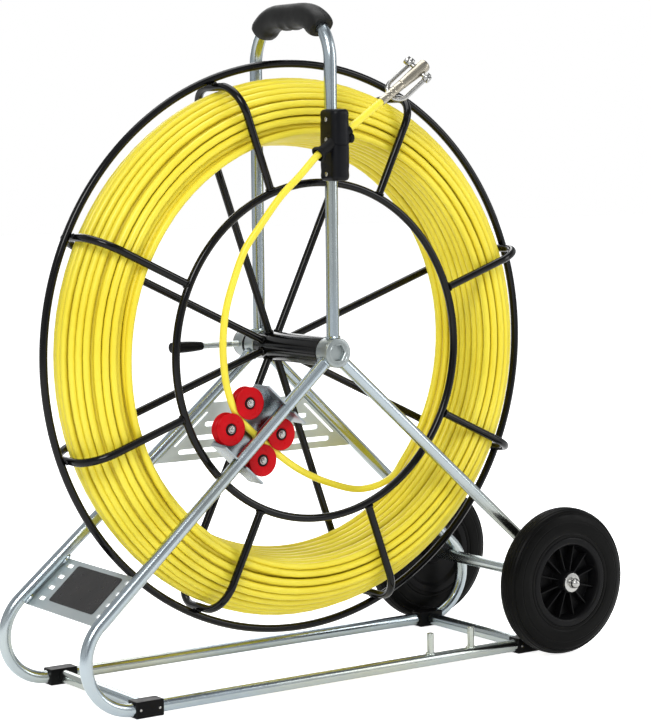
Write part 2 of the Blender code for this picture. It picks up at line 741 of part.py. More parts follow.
def bracket(spots):
    """The channel: a base behind the rollers and two flanges notched round the tube."""
    reach, sheet = BRACKET_REACH, PLATE_T
    outline = [(-reach, BRACKET_FRONT), (-reach, PLATE_Y - 0.0025), (-reach + 0.0025, PLATE_Y),
               (reach - 0.0025, PLATE_Y), (reach, PLATE_Y - 0.0025), (reach, BRACKET_FRONT),
               (reach - sheet, BRACKET_FRONT), (reach - sheet, PLATE_Y - sheet),
               (-reach + sheet, PLATE_Y - sheet), (-reach + sheet, BRACKET_FRONT)]
    mesh = bmesh.new()
    ends = []
    for across in (BRACKET_SHIFT - BRACKET_HALF, BRACKET_SHIFT + BRACKET_HALF):
        ends.append([mesh.verts.new(roller_place(a, across, y)) for a, y in outline])
    bridge(mesh, ends[0], ends[1])
    for ring in ends:
        mesh.faces.new(ring)
    made = finish("roller_bracket", mesh, zinc())
    cutters = [notch_cutter()]
    for index, (along, across) in enumerate(spots):
        start = roller_place(along, across, PLATE_Y - 0.01)
        end = roller_place(along, across, PLATE_Y + 0.01)
        cutters.append(cylinder_cutter("bracket_hole_%d" % (index + 1), start, end, ROLLER_BOLT_R + GAP, 14))
    cut(made, cutters)


def notch_cutter():
    """The diagonal tube's own shape, drawn out towards the front, to notch the flanges with."""
    slope = diagonal_angle(LEFT)
    mesh = bmesh.new()
    rings = []
    for distance in (0.05, 0.27):
        spot = Vector((REEL_X - distance * math.cos(slope), 0, AXIS_Z - distance * math.sin(slope)))
        spot.y = loop_y(NEAR, spot.z)
        side = Vector((-math.sin(slope), 0, math.cos(slope)))
        ring = []
        for k in range(9):
            turn = math.pi * k / 8
            ring.append(spot + side * math.cos(turn) * NOTCH_R + Vector((0, 1, 0)) * math.sin(turn) * NOTCH_R)
        ring.append(spot - side * NOTCH_R + Vector((0, -0.05, 0)))
        ring.append(spot + side * NOTCH_R + Vector((0, -0.05, 0)))
        rings.append([mesh.verts.new(point) for point in ring])
    bridge(mesh, rings[0], rings[1])
    for ring in rings:
        mesh.faces.new(ring)
    return finish("flange_notch", mesh, zinc())


def roller(index, spot):
    """One grooved roller on its bolt."""
    pivot = empty("roller_pivot_%d" % index, spot + Vector((0, ROLLER_Y, 0)))
    outline = [(ROLLER_BOLT_R + GAP, -ROLLER_HALF), (ROLLER_FLANGE_R - 0.0008, -ROLLER_HALF),
               (ROLLER_FLANGE_R, -ROLLER_HALF + 0.0006)]
    for k in range(5):
        turn = math.radians(-76 + 152 * k / 4)
        outline.append((ROLLER_ALONG - GROOVE_R * math.cos(turn), GROOVE_R * math.sin(turn)))
    outline += [(ROLLER_FLANGE_R, ROLLER_HALF - 0.0006), (ROLLER_FLANGE_R - 0.0008, ROLLER_HALF),
                (ROLLER_BOLT_R + GAP, ROLLER_HALF)]
    across = Matrix.Translation(spot + Vector((0, ROLLER_Y, 0))) @ Matrix.Rotation(-math.pi / 2, 4, "X")
    turned("roller_%d" % index, outline, 20, red_plastic(), pivot, across)
    front, back = ROLLER_HALF + GAP, PLATE_Y - ROLLER_Y + GAP
    bolt = [(0, -front - 0.0036), (0.0034, -front - 0.0030), (0.0058, -front - 0.0010), (0.0058, -front),
            (ROLLER_BOLT_R, -front), (ROLLER_BOLT_R, back), (0.0052, back), (0.0052, back + 0.0036), (0, back + 0.0036)]
    turned("roller_bolt_%d" % index, bolt, 14, bright_steel(), None, across)


# ---------------------------------------------------------------- reel

def reel_point(radius, turn, y):
    return Vector((REEL_X + radius * math.cos(turn), y, AXIS_Z + radius * math.sin(turn)))


def reel():
    """The cage, its hub and the rod wound in it, all carried by one shaft."""
    pivot = empty("reel_pivot", (REEL_X, 0, AXIS_Z))
    place = axle_frame(REEL_X, AXIS_Z)
    bore = SHAFT_R + GAP
    hub = [(bore, -HUB_END), (HUB_R, -HUB_END), (HUB_R, HUB_END), (bore, HUB_END), (bore, HUB_END - HUB_WALL),
           (HUB_R - HUB_WALL, HUB_END - HUB_WALL), (HUB_R - HUB_WALL, HUB_WALL - HUB_END), (bore, HUB_WALL - HUB_END)]
    turned("hub_tube", hub, 22, black_coat(), pivot, place)
    ring("outer_ring", RING_R, 0.0, 56, pivot)
    ring("inner_ring", INNER_RING_R, NEAR_Y, 40, pivot)
    for index in range(RIB_COUNT):
        rib(index, pivot)
    coil(pivot, place)
    shaft(pivot, place)


def ring(name, radius, y, steps, pivot):
    """A bar bent to a full circle."""
    path = [reel_point(radius, RIB_PHASE + TAU * k / steps, y) for k in range(steps)]
    swept(name, path, BAR_R, 8, black_coat(), closed=True, parent=pivot)


def rib(index, pivot):
    """A bar from the hub out along the far side, across the coil and back along the near side."""
    turn = RIB_PHASE + TAU * index / RIB_COUNT

    def place(radius, y):
        return reel_point(radius, turn, y)

    inset = RIB_R - RIB_BEND
    path = [place(HUB_R + GAP, FAR_Y)]
    path += arc((inset, FAR_Y - RIB_BEND), RIB_BEND, math.pi / 2, 0, 4, place)
    path += arc((inset, NEAR_Y + RIB_BEND), RIB_BEND, 0, -math.pi / 2, 4, place)
    path.append(place(INNER_RING_R + BAR_R + GAP, NEAR_Y))
    swept("rib_%d" % (index + 1), path, BAR_R, 8, black_coat(), parent=pivot)


def coil(pivot, place):
    """The wound turns of rod as one ring that fills the cage."""
    turned("rod_coil", COIL_OUTLINE, 48, yellow_rod(), pivot, place)


def shaft(pivot, place):
    """The shaft through hub and bosses, with a head at its far end and a bolt in its near end."""
    near, far = -0.0886, COLLAR_Y[1] + GAP
    outline = [(0, near + 0.030), (0.0053, near + 0.030), (0.0053, near), (SHAFT_R, near), (SHAFT_R, far),
               (BOSS_R, far), (BOSS_R, far + 0.0020), (BOSS_R - 0.0008, far + 0.0028), (0, far + 0.0028)]
    turned("reel_shaft", outline, 20, bright_steel(), pivot, place)
    flange = BOSS_OUT + GAP
    near_bolt = [(0, near + 0.026), (0.0050, near + 0.026), (0.0050, near - GAP), (0.0122, near - GAP),
                 (0.0122, -flange), (BOSS_R, -flange), (BOSS_R, -flange - 0.0020), (BOSS_R - 0.0008, -flange - 0.0028),
                 (0, -flange - 0.0028)]
    bolt = turned("near_shaft_bolt", near_bolt, 22, zinc(), pivot, place)
    cut(bolt, [socket_cutter(-flange - 0.0028 + 0.0052)])


def socket_cutter(deepest):
    """The hexagon socket in the near bolt."""
    outline = rod_profile(0.0104, -0.12, deepest)
    return turned("hex_socket", outline, 6, zinc(), None, axle_frame(REEL_X, AXIS_Z))


# ---------------------------------------------------------------- rod

def leader_path():
    """The free length: from the pulling head, through guide and rollers, to the coil."""
    knots = [guide_point(FERRULE_END - 0.0045), guide_point(FERRULE_START), guide_point(0.028)]
    knots += [guide_point(-0.006), guide_point(GUIDE_ENTRY)]
    for x, z, y in LEADER_BOW:
        knots.append(Vector((REEL_X + x, y, AXIS_Z + z)))
    knots.append(roller_place(0, -ROLLER_ACROSS, ROLLER_Y))
    knots.append(roller_place(0, ROLLER_ACROSS, ROLLER_Y))
    for x, z, y in LEADER_TAIL:
        knots.append(Vector((REEL_X + x, y, AXIS_Z + z)))
    return smooth_path(knots, 3)


def smooth_path(knots, steps):
    """A centripetal Catmull-Rom curve through the knots."""
    padded = [knots[0] * 2 - knots[1]] + knots + [knots[-1] * 2 - knots[-2]]
    path = [knots[0]]
    for i in range(1, len(padded) - 2):
        p0, p1, p2, p3 = padded[i - 1:i + 3]
        t1 = (p1 - p0).length ** 0.5
        t2 = t1 + (p2 - p1).length ** 0.5
        t3 = t2 + (p3 - p2).length ** 0.5
        for k in range(1, steps + 1):
            t = t1 + (t2 - t1) * k / steps
            a1 = p0 * ((t1 - t) / t1) + p1 * (t / t1)
            a2 = p1 * ((t2 - t) / (t2 - t1)) + p2 * ((t - t1) / (t2 - t1))
            a3 = p2 * ((t3 - t) / (t3 - t2)) + p3 * ((t - t2) / (t3 - t2))
            b1 = a1 * ((t2 - t) / t2) + a2 * (t / t2)
            b2 = a2 * ((t3 - t) / (t3 - t1)) + a3 * ((t - t1) / (t3 - t1))
            path.append(b1 * ((t2 - t) / (t2 - t1)) + b2 * ((t - t1) / (t2 - t1)))
    return path


def leader():
    swept("rod_leader", leader_path(), ROD_R, 8, yellow_rod())


# ---------------------------------------------------------------- brake

def brake():
    """A collar on the far boss. Its screw pushes a shoe against the shaft."""
    place = axle_frame(REEL_X, AXIS_Z)
    low, high = BRAKE_RING_Y
    turned("friction_ring", tube_profile(SHAFT_R + GAP, BOSS_R - 0.0008, low, high - GAP), 28, black_rubber(),
           None, place)
    low, high = COLLAR_Y
    collar = turned("brake_collar", tube_profile(SHAFT_R + GAP, BOSS_R, low, high - GAP), 28, zinc(), None, place)
    bore = cylinder_cutter("spindle_bore", (REEL_X - 0.0302, BRAKE_Y, AXIS_Z), (REEL_X - 0.0060, BRAKE_Y, AXIS_Z),
                           SPINDLE_R + GAP)
    cut(collar, [bore])
    slide = empty("brake_slide_pivot", (REEL_X - 0.012, BRAKE_Y, AXIS_Z))
    screw = empty("brake_screw_pivot", (REEL_X - 0.070, BRAKE_Y, AXIS_Z))
    screw.parent = slide
    screw.matrix_parent_inverse = slide.matrix_world.inverted()
    bpy.context.view_layer.update()
    left = frame_at((REEL_X, BRAKE_Y, AXIS_Z), (-1, 0, 0))
    turned("brake_shoe", rod_profile(SPINDLE_R - 0.0001, 0.0106, 0.0134), 14, black_rubber(), slide, left)
    turned("brake_spindle", rod_profile(SPINDLE_R, 0.0137, 0.0900, 0.0006), 16, zinc(), screw, left)
    grip = [(SPINDLE_R + GAP, 0.0730), (0.0058, 0.0730), (0.0070, 0.0780), (0.0074, 0.0920), (0.0070, 0.1120),
            (0.0056, 0.1180), (0.0030, 0.1196), (0, 0.1200), (0, 0.0906), (SPINDLE_R + GAP, 0.0906)]
    turned("brake_grip", grip, 14, black_plastic(), screw, left)


# ---------------------------------------------------------------- wheels

def wheel(name, side):
    """A solid tyre on a dished rim, held on the axle by a washer and a domed nut."""
    middle, inside = TYRE_IN[side] + TYRE_WIDTH / 2, TYRE_IN[side]
    outside = inside + TYRE_WIDTH
    pivot = empty(name + "_wheel_pivot", (REEL_X + WHEEL_DX, side * middle, WHEEL_Z))
    place = axle_frame(REEL_X + WHEEL_DX, WHEEL_Z)

    def along(outline):
        return [(radius, side * height) for radius, height in outline]

    bore = RIM_R + GAP
    shoulders = [(WHEEL_R - 0.016, 0), (WHEEL_R - 0.006, 0.0025), (WHEEL_R - 0.0015, 0.0075), (WHEEL_R, 0.014)]
    tyre = [(bore, inside + 0.001)] + [(radius, inside + inset) for radius, inset in shoulders]
    tyre += [(radius, outside - inset) for radius, inset in reversed(shoulders)] + [(bore, outside - 0.002)]
    turned(name + "_tyre", along(tyre), 24, black_rubber(), pivot, place)
    rim = [(WHEEL_BORE_R, inside - 0.0002), (0.016, inside - 0.0002), (0.018, inside + 0.006),
           (0.046, inside + 0.006), (0.050, inside + 0.001), (RIM_R, inside + 0.001), (RIM_R, outside - 0.001),
           (0.0510, outside), (0.0490, outside - 0.003), (0.0460, outside - 0.018), (0.0170, outside - 0.018),
           (0.0145, outside + 0.002), (WHEEL_BORE_R, outside + 0.002)]
    turned(name + "_rim", along(rim), 24, black_plastic(), pivot, place)
    start = outside + 0.002 + GAP
    end = axle_end(side) + GAP
    nut = [(AXLE_ROD_R + GAP, start), (0.0125, start), (0.0125, start + 0.0018), (0.0088, start + 0.0018),
           (0.0092, start + 0.0060), (0.0078, start + 0.0100), (0.0040, start + 0.0128), (0, start + 0.0134),
           (0, end), (AXLE_ROD_R + GAP, end)]
    turned(name + "_wheel_nut", along(nut), 14, bright_steel(), None, place)


def centre_on_origin():
    """Move everything so that the middle of the whole box stands over the origin."""
    for item in bpy.data.objects:
        if item.parent is None:
            item.matrix_world = Matrix.Translation((0, -MIDDLE_Y, 0)) @ item.matrix_world


def build():
    clear_scene()
    side_loop("near_side_tube", NEAR)
    side_loop("far_side_tube", FAR)
    handle()
    boss("near_boss", NEAR)
    boss("far_boss", FAR)
    floor_frame()
    stowage_pins()
    axle_tube()
    label_plate()
    gusset_plate()
    grip_half("grip_left_half", -1)
    grip_half("grip_right_half", 1)
    guide_block()
    guide_tube()
    pulling_head()
    shackle()
    roller_unit()
    reel()
    leader()
    brake()
    wheel("near", NEAR)
    wheel("far", FAR)
    centre_on_origin()


build()
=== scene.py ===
"""Looks of the fish tape reel: a wheeled tube stand with a turning wire cage of yellow rod."""
from math import asin, atan2, cos, exp, hypot, pi, radians, sin
import bmesh
import bpy
from mathutils import Matrix, Vector, noise


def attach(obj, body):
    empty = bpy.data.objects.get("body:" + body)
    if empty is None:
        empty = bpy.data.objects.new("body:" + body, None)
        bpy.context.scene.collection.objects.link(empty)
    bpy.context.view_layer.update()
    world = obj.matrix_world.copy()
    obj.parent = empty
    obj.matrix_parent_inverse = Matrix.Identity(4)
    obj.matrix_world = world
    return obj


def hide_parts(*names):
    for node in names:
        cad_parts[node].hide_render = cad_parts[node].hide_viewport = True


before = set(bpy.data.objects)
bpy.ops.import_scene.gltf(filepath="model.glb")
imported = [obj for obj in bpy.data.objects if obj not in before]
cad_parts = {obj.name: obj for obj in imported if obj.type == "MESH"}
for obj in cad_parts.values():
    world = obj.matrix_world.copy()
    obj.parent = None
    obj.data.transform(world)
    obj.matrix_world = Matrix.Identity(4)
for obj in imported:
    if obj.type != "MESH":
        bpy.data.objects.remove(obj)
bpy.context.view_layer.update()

TAU = 2 * pi
GAP = 0.0003
NEAR = -1
FAR = 1
SIDES = {"near": NEAR, "far": FAR}
LEFT = -1
RIGHT = 1

# Stand, in metres. Heights are over the floor, and places along X are from the reel's axis.
REEL_X = -0.0267403
MIDDLE_Y = 0.01125  # the whole box's middle, from the reel's own plane
TUBE_R = 0.008
RAIL_Z = 0.0102
AXIS_Z = 0.4152
BEND_R = 0.06
BEND_CENTRE_X = {LEFT: 0.303, RIGHT: 0.294}
BEND_CENTRE_Z = RAIL_Z + BEND_R
RAIL_Y = {NEAR: 0.098, FAR: 0.118}
CLAMP_X = {"front": -0.284, "rear": 0.2965}
CLAMP_SIZE = (0.038, 0.0205, 0.0203)
CLAMP_INSET = 0.001
STOWAGE_X = (0.1385, 0.2045)
STOWAGE_TOP = 0.045
UPRIGHT_Y = 0.084
BOSS_R = 0.0185
BOSS_IN = 0.0725
BOSS_OUT = 0.093
BOSS_SINK_R = 0.0126
BOSS_SINK = 0.0042
HANDLE_TOP = AXIS_Z + 0.4195
HOOP_Y = UPRIGHT_Y - BEND_R
HOOP_Z = HANDLE_TOP - BEND_R
WELD_IN = 0.002  # how far a tube's end goes into what it is welded to

# Label plate: distances are down the left diagonals from the reel's axis
PLATE_TOP = 0.377
PLATE_FOOT = 0.4545
PLATE_THICK = 0.002
SLOT_HALF = (0.003, 0.0072)
SLOT_START = 0.3865
SLOT_PITCH = 0.0178
SLOT_Y = (-0.063, 0.083)

# Wheels
WHEEL_R = 0.097
WHEEL_Z = 0.0975
WHEEL_DX = 0.3274806
TYRE_IN = {NEAR: 0.1175, FAR: 0.14}
TYRE_WIDTH = 0.036
RIM_R = 0.059
AXLE_ROD_R = 0.006
TYRE_WALL = [
    (RIM_R + GAP, -0.001), (0.0625, -0.0006), (0.064, -0.0012), (0.0655, -0.0004), (0.07, 0.0), (0.079, -0.0002),
    (0.08, -0.0009), (0.0812, -0.0006), (0.087, -0.002), (0.0896, -0.0034), (0.0902, -0.005), (0.0912, -0.0052),
    (0.0922, -0.0046), (0.094, -0.0066), (0.0946, -0.0086), (0.0956, -0.0092), (0.0966, -0.0124), (0.096, -0.013),
    (0.0968, -0.0136), (WHEEL_R, -0.015), (0.0962, -0.0156), (0.0962, -0.0166), (WHEEL_R, -0.0172)]

# Reel cage
BAR_R = 0.005
RING_R = 0.36
RIB_R = RING_R - 2 * BAR_R - GAP
RIB_BEND = 0.038
FAR_Y = 0.052
NEAR_Y = -0.0565
INNER_RING_R = 0.211
RIB_COUNT = 8
RIB_PHASE = radians(19.5)
HUB_R = 0.0185
HUB_END = 0.071
SHAFT_R = 0.01
SHAFT_BORE = SHAFT_R + GAP

# Rod
ROD_R = 0.0045
ROD_LENGTH = 120.0
COIL_PITCH = 0.0104
TURN_STEPS = 84
LAYER_DEPTHS = (ROD_R + 0.0002, 3 * ROD_R - 0.0006, 5 * ROD_R - 0.0014)
STEP_IN = 0.22  # share of a turn in which the rod steps down to the next layer
LOOSE_STRAND = (0.279, -0.046)
LOOSE_TURN = radians(172)
COIL_OUTLINE = [
    (0.276, -0.0508), (0.304, -0.0508), (0.315, -0.046), (0.3225, -0.0385), (0.331, -0.029), (0.338, -0.019),
    (0.343, -0.006), (0.343, 0.007), (0.3375, 0.02), (0.327, 0.033), (0.312, 0.043), (0.3, 0.0462), (0.262, 0.0462),
    (0.257, 0.041), (0.271, -0.045)]
COIL_START = (0.257, 0.041)
LEADER_BOW = [
    (-0.0545, 0.221, -0.097), (-0.0827, 0.1948, -0.0945), (-0.1103, 0.1605, -0.0915), (-0.1308, 0.1323, -0.0885),
    (-0.1451, 0.0965, -0.0855), (-0.1551, 0.0605, -0.0825), (-0.1582, 0.0241, -0.0795), (-0.156, -0.0065, -0.077),
    (-0.1493, -0.037, -0.074)]
LEADER_TAIL = [
    (-0.038, -0.145, -0.058), (0.0341, -0.1739, -0.025), (0.101, -0.1912, 0.003), (0.15, -0.1895, 0.02),
    (0.174, -0.181, 0.0265), (0.192, -0.163, 0.03)]

# Guide block and pulling head
GUIDE_LOW = AXIS_Z + 0.213
GUIDE_HIGH = AXIS_Z + 0.301
GUIDE_ANGLE = radians(34)
GUIDE_Y = -0.1005
GUIDE_CROSS_Z = AXIS_Z + 0.2661
GUIDE_TUBE_R = 0.0069
GUIDE_BORE_R = 0.0052
GUIDE_ENTRY = -0.0376
GUIDE_EXIT = 0.0253
GUIDE_SCREW_Z = (0.2885, 0.264, 0.2215)
FERRULE_START = 0.0788
FERRULE_END = 0.1156
HEAD_END = 0.162
PIN_AT = 0.1487
PIN_R = 0.003
PIN_LEAN = radians(36)
SHACKLE_HALF = 0.01415
SHACKLE_ARM = 0.0358
SHACKLE_STOCK = 0.003
SHACKLE_FOLD = radians(11.5)

# Rollers
ROLLER_ANGLE = radians(47.5)
ROLLER_DX = -0.111
ROLLER_DZ = -0.0915
ROLLER_ALONG = 0.0205
ROLLER_ACROSS = 0.03075
ROLLER_FLANGE_R = 0.0202
GROOVE_R = 0.0056
ROLLER_HALF = 0.0072
ROLLER_Y = -0.0715
ROLLER_BOLT_R = 0.003
PLATE_Y = -0.061

# Brake
BRAKE_RING_Y = (0.0933, 0.098)
COLLAR_Y = (0.0983, 0.118)
BRAKE_Y = (COLLAR_Y[0] + COLLAR_Y[1]) / 2
SPINDLE_R = 0.004

KEPT_NODES = {"wheel_axle_rod": "bright", "gusset_plate": "satin", "roller_bracket": "sheet", "brake_shoe": "rubber"}

# Camera: place, heading and lens
CAMERA_PLACE = (-1.643682, -2.424061, 0.667512)
CAMERA_TURN = -0.6035675
CAMERA_DROP = 0.092014
CAMERA_ROLL = -0.0105339
CAMERA_LENS = 126.45
SENSOR_WIDTH = 36.0

# Studio: the walls' colour by height, and the noise that darkens them in patches
WORLD_STRENGTH = 0.66
WALL_STOPS = [(0.48, (0.66, 0.68, 0.7)), (0.53, (1.05, 1.1, 1.14)), (0.6, (1.0, 1.0, 1.0)),
              (0.8, (0.78, 0.8, 0.82))]
GAP_STOPS = [(0.4, (0.34, 0.35, 0.37)), (0.52, (1, 1, 1))]


# --- stage

def linked(name, data):
    made = bpy.data.objects.new(name, data)
    bpy.context.scene.collection.objects.link(made)
    return made


def make_camera():
    data = bpy.data.cameras.new("camera")
    data.sensor_fit = "HORIZONTAL"
    data.sensor_width = SENSOR_WIDTH
    data.lens = CAMERA_LENS
    camera = linked("camera", data)
    camera.matrix_world = (Matrix.Translation(CAMERA_PLACE) @ Matrix.Rotation(CAMERA_TURN, 4, "Z")
                           @ Matrix.Rotation(pi / 2 - CAMERA_DROP, 4, "X")
                           @ Matrix.Rotation(CAMERA_ROLL, 4, "Z"))
    bpy.context.scene.camera = camera


def set_inputs(tree, node, values):
    """Link each input that is given a socket, and set the others."""
    for key, value in values.items():
        if isinstance(value, bpy.types.NodeSocket):
            tree.links.new(value, node.inputs[key])
        else:
            node.inputs[key].default_value = value


def add_node(tree, kind, values=None, **settings):
    node = tree.nodes.new("ShaderNode" + kind)
    for key, value in settings.items():
        setattr(node, key, value)
    set_inputs(tree, node, values or {})
    return node


def set_stops(node, stops):
    """Give a colour ramp its places and colours, from low to high."""
    elements = node.color_ramp.elements
    for index, (place, colour) in enumerate(stops):
        if index > 1:
            elements.new(1.0)
        elements[index].position = place
        elements[index].color = (*colour, 1)


def new_material(name):
    made = bpy.data.materials.new(name)
    made.use_nodes = True
    return made, made.node_tree


def object_from(name, mesh):
    """A linked object with the shape of a bmesh, which is freed."""
    data = bpy.data.meshes.new(name)
    mesh.to_mesh(data)
    mesh.free()
    return linked(name, data)


def area_light(name, place, target, size, power):
    data = bpy.data.lights.new(name, "AREA")
    data.shape = "RECTANGLE"
    data.size, data.size_y = size
    data.energy = power
    lamp = linked(name, data)
    lamp.location = place
    lamp.rotation_euler = (Vector(target) - Vector(place)).to_track_quat("-Z", "Y").to_euler()


def make_world():
    """White behind the object, and a studio of bright walls and dark gaps for the metal to reflect."""
    world = bpy.data.worlds.new("studio")
    bpy.context.scene.world = world
    world.use_nodes = True
    tree = world.node_tree
    tree.nodes.clear()
    direction = add_node(tree, "TexCoord").outputs["Generated"]
    upward = add_node(tree, "SeparateXYZ", {0: direction}).outputs["Z"]
    height = add_node(tree, "Math", {0: upward, 1: 0.5, 2: 0.5}, operation="MULTIPLY_ADD")
    walls = add_node(tree, "ValToRGB", {"Fac": height.outputs[0]})
    set_stops(walls, WALL_STOPS)
    patches = add_node(tree, "TexNoise", {"Vector": direction, "Scale": 2.1, "Detail": 1.0})
    gaps = add_node(tree, "ValToRGB", {"Fac": patches.outputs["Fac"]})
    set_stops(gaps, GAP_STOPS)
    studio = add_node(tree, "Mix", {"Factor": 1.0, "A": walls.outputs["Color"], "B": gaps.outputs["Color"]},
                      data_type="RGBA", blend_type="MULTIPLY")
    light = add_node(tree, "Background", {"Color": studio.outputs["Result"], "Strength": WORLD_STRENGTH})
    seen = add_node(tree, "Background", {"Color": (1, 1, 1, 1), "Strength": 1.0})
    ray = add_node(tree, "LightPath").outputs["Is Camera Ray"]
    chosen = add_node(tree, "MixShader", {"Fac": ray, 1: light.outputs[0], 2: seen.outputs[0]})
    add_node(tree, "OutputWorld", {"Surface": chosen.outputs[0]})


def make_floor():
    mesh = bmesh.new()
    bmesh.ops.create_grid(mesh, x_segments=4, y_segments=4, size=14)
    floor = object_from("floor", mesh)
    floor.location.z = -0.0005
    made, tree = new_material("floor_paint")
    ray = add_node(tree, "LightPath").outputs["Is Camera Ray"]
    glow = add_node(tree, "Math", {0: ray, 1: 0.65, 2: 0.2}, operation="MULTIPLY_ADD")
    set_inputs(tree, tree.nodes["Principled BSDF"], {
        "Base Color": (0.93, 0.93, 0.93, 1), "Roughness": 0.9, "Specular IOR Level": 0.1,
        "Emission Color": (1, 1, 1, 1), "Emission Strength": glow.outputs[0]})
    floor.data.materials.append(made)


def make_studio():
    bpy.context.scene.view_settings.view_transform = "Standard"
    make_world()
    make_floor()
    area_light("key_light", (-2.6, -2.4, 2.9), (0, 0, 0.4), (1.6, 1.6), 88)
    area_light("fill_light", (2.6, -2.2, 1.6), (0, 0, 0.4), (0.9, 2.2), 26)
    area_light("top_light", (0.3, 0.6, 3.2), (0, 0, 0.3), (2.4, 2.4), 52)
    area_light("back_light", (1.2, 3.0, 1.8), (0, 0, 0.4), (2.4, 1.6), 30)


# --- materials

GRAIN_DEPTH = 0.0002
TINT_AMOUNT = 0.45


def noise_node(tree, coords, scale, detail=3.0):
    return add_node(tree, "TexNoise", {"Vector": coords, "Scale": scale, "Detail": detail}).outputs["Fac"]


def range_node(tree, value, low, high, start=0.3, end=0.7):
    limits = {"Value": value, "From Min": start, "From Max": end, "To Min": low, "To Max": high}
    return add_node(tree, "MapRange", limits).outputs["Result"]


def mix_node(tree, factor, first, second):
    colours = {"Factor": factor, "A": first, "B": second}
    return add_node(tree, "Mix", colours, data_type="RGBA").outputs["Result"]


def surface(name, bright, dark, roughness, spread, patch, grain, bump, metallic, specular, tint=None):
    """A finish with slow colour change, uneven gloss and a fine grain. Patch and grain are counts a metre."""
    made, tree = new_material(name)
    coords = add_node(tree, "TexCoord").outputs["Object"]
    slow = noise_node(tree, coords, patch)
    colour = mix_node(tree, range_node(tree, slow, 0, 1), (*dark, 1), (*bright, 1))
    if tint:
        warm = noise_node(tree, coords, patch * 0.6, 2.0)
        colour = mix_node(tree, range_node(tree, warm, 0, TINT_AMOUNT, 0.45, 0.65), colour, (*tint, 1))
    gloss = range_node(tree, noise_node(tree, coords, patch * 3.1, 4.0), roughness - spread, roughness + spread)
    relief = add_node(tree, "Bump", {"Height": noise_node(tree, coords, grain, 2.0), "Strength": bump,
                                     "Distance": GRAIN_DEPTH})
    set_inputs(tree, tree.nodes["Principled BSDF"], {
        "Metallic": metallic, "Specular IOR Level": specular, "Base Color": colour, "Roughness": gloss,
        "Normal": relief.outputs["Normal"]})
    return made


# Bright and dark colour, roughness and its spread, patches, grain, bump, metal, specular and, if any, tint
FINISHES = {name: surface(name, *row) for name, row in {
    "zinc": ((0.5, 0.565, 0.6), (0.4, 0.46, 0.5), 0.22, 0.05, 6.0, 1400.0, 0.025, 1, 0.5, (0.52, 0.5, 0.34)),
    "sheet": ((0.42, 0.46, 0.48), (0.33, 0.37, 0.39), 0.27, 0.05, 7.0, 1400.0, 0.03, 1, 0.5),
    "bright": ((0.5, 0.495, 0.475), (0.41, 0.405, 0.39), 0.27, 0.05, 20.0, 2500.0, 0.01, 1, 0.5),
    "champagne": ((0.47, 0.43, 0.35), (0.36, 0.33, 0.27), 0.27, 0.05, 20.0, 2500.0, 0.01, 1, 0.5),
    "satin": ((0.6, 0.645, 0.645), (0.5, 0.545, 0.55), 0.46, 0.05, 9.0, 1400.0, 0.03, 1, 0.5),
    "machined": ((0.42, 0.455, 0.45), (0.3, 0.33, 0.33), 0.36, 0.08, 24.0, 1400.0, 0.03, 1, 0.5),
    "cage": ((0.003, 0.0029, 0.0031), (0.0015, 0.0015, 0.0017), 0.14, 0.04, 22.0, 700.0, 0.1, 0, 0.25),
    "rubber": ((0.006, 0.006, 0.006), (0.003, 0.003, 0.003), 0.55, 0.08, 40.0, 1800.0, 0.3, 0, 0.16),
    "tyre": ((0.0036, 0.0036, 0.0033), (0.0018, 0.0018, 0.0017), 0.38, 0.1, 26.0, 1500.0, 0.2, 0, 0.075),
    "plastic": ((0.0045, 0.0045, 0.0048), (0.0025, 0.0025, 0.0028), 0.36, 0.07, 30.0, 2200.0, 0.22, 0, 0.11),
    "grip": ((0.0115, 0.0115, 0.0108), (0.0065, 0.0065, 0.0062), 0.5, 0.07, 35.0, 1600.0, 0.45, 0, 0.22),
    "guide": ((0.0045, 0.005, 0.0068), (0.0024, 0.0026, 0.0036), 0.34, 0.07, 40.0, 1900.0, 0.3, 0, 0.15),
    "rod": ((0.89, 0.765, 0.062), (0.82, 0.675, 0.036), 0.36, 0.07, 11.0, 1200.0, 0.06, 0, 0.4),
    "roller": ((0.56, 0.001, 0.006), (0.44, 0.001, 0.004), 0.32, 0.06, 45.0, 1500.0, 0.1, 0, 0.13),
    "sticker": ((0.02, 0.018, 0.017), (0.012, 0.011, 0.011), 0.3, 0.05, 30.0, 900.0, 0.04, 0, 0.25),
}.items()}


# --- mesh helpers

def centred_object(name, mesh):
    """An object of a closed shape, moved from the reel's plane to the whole box's middle."""
    bmesh.ops.recalc_face_normals(mesh, faces=mesh.faces)
    bmesh.ops.translate(mesh, vec=(0, -MIDDLE_Y, 0), verts=mesh.verts)
    return object_from(name, mesh)


def shade_smooth(data, crease):
    data.polygons.foreach_set("use_smooth", [True] * len(data.polygons))
    data.set_sharp_from_angle(angle=radians(crease))


def place_piece(name, mesh, slot, body, stands_for=(), finish=None, crease=40):
    """Turn a bmesh into a piece that rides on a body and, where named, replaces CAD nodes."""
    bmesh.ops.remove_doubles(mesh, verts=mesh.verts, dist=1e-7)
    piece = centred_object(name, mesh)
    shade_smooth(piece.data, crease)
    piece.data.materials.append(FINISHES[finish or slot])
    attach(piece, body)
    if stands_for:
        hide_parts(*stands_for)
    return piece


def polar(radius, turn, height=0.0):
    return Vector((radius * cos(turn), radius * sin(turn), height))


def circle(count):
    """Even turns round a circle."""
    return [TAU * k / count for k in range(count)]


def bridge(mesh, ring, follower):
    for k in range(len(ring)):
        n = (k + 1) % len(ring)
        mesh.faces.new((ring[k], ring[n], follower[n], follower[k]))


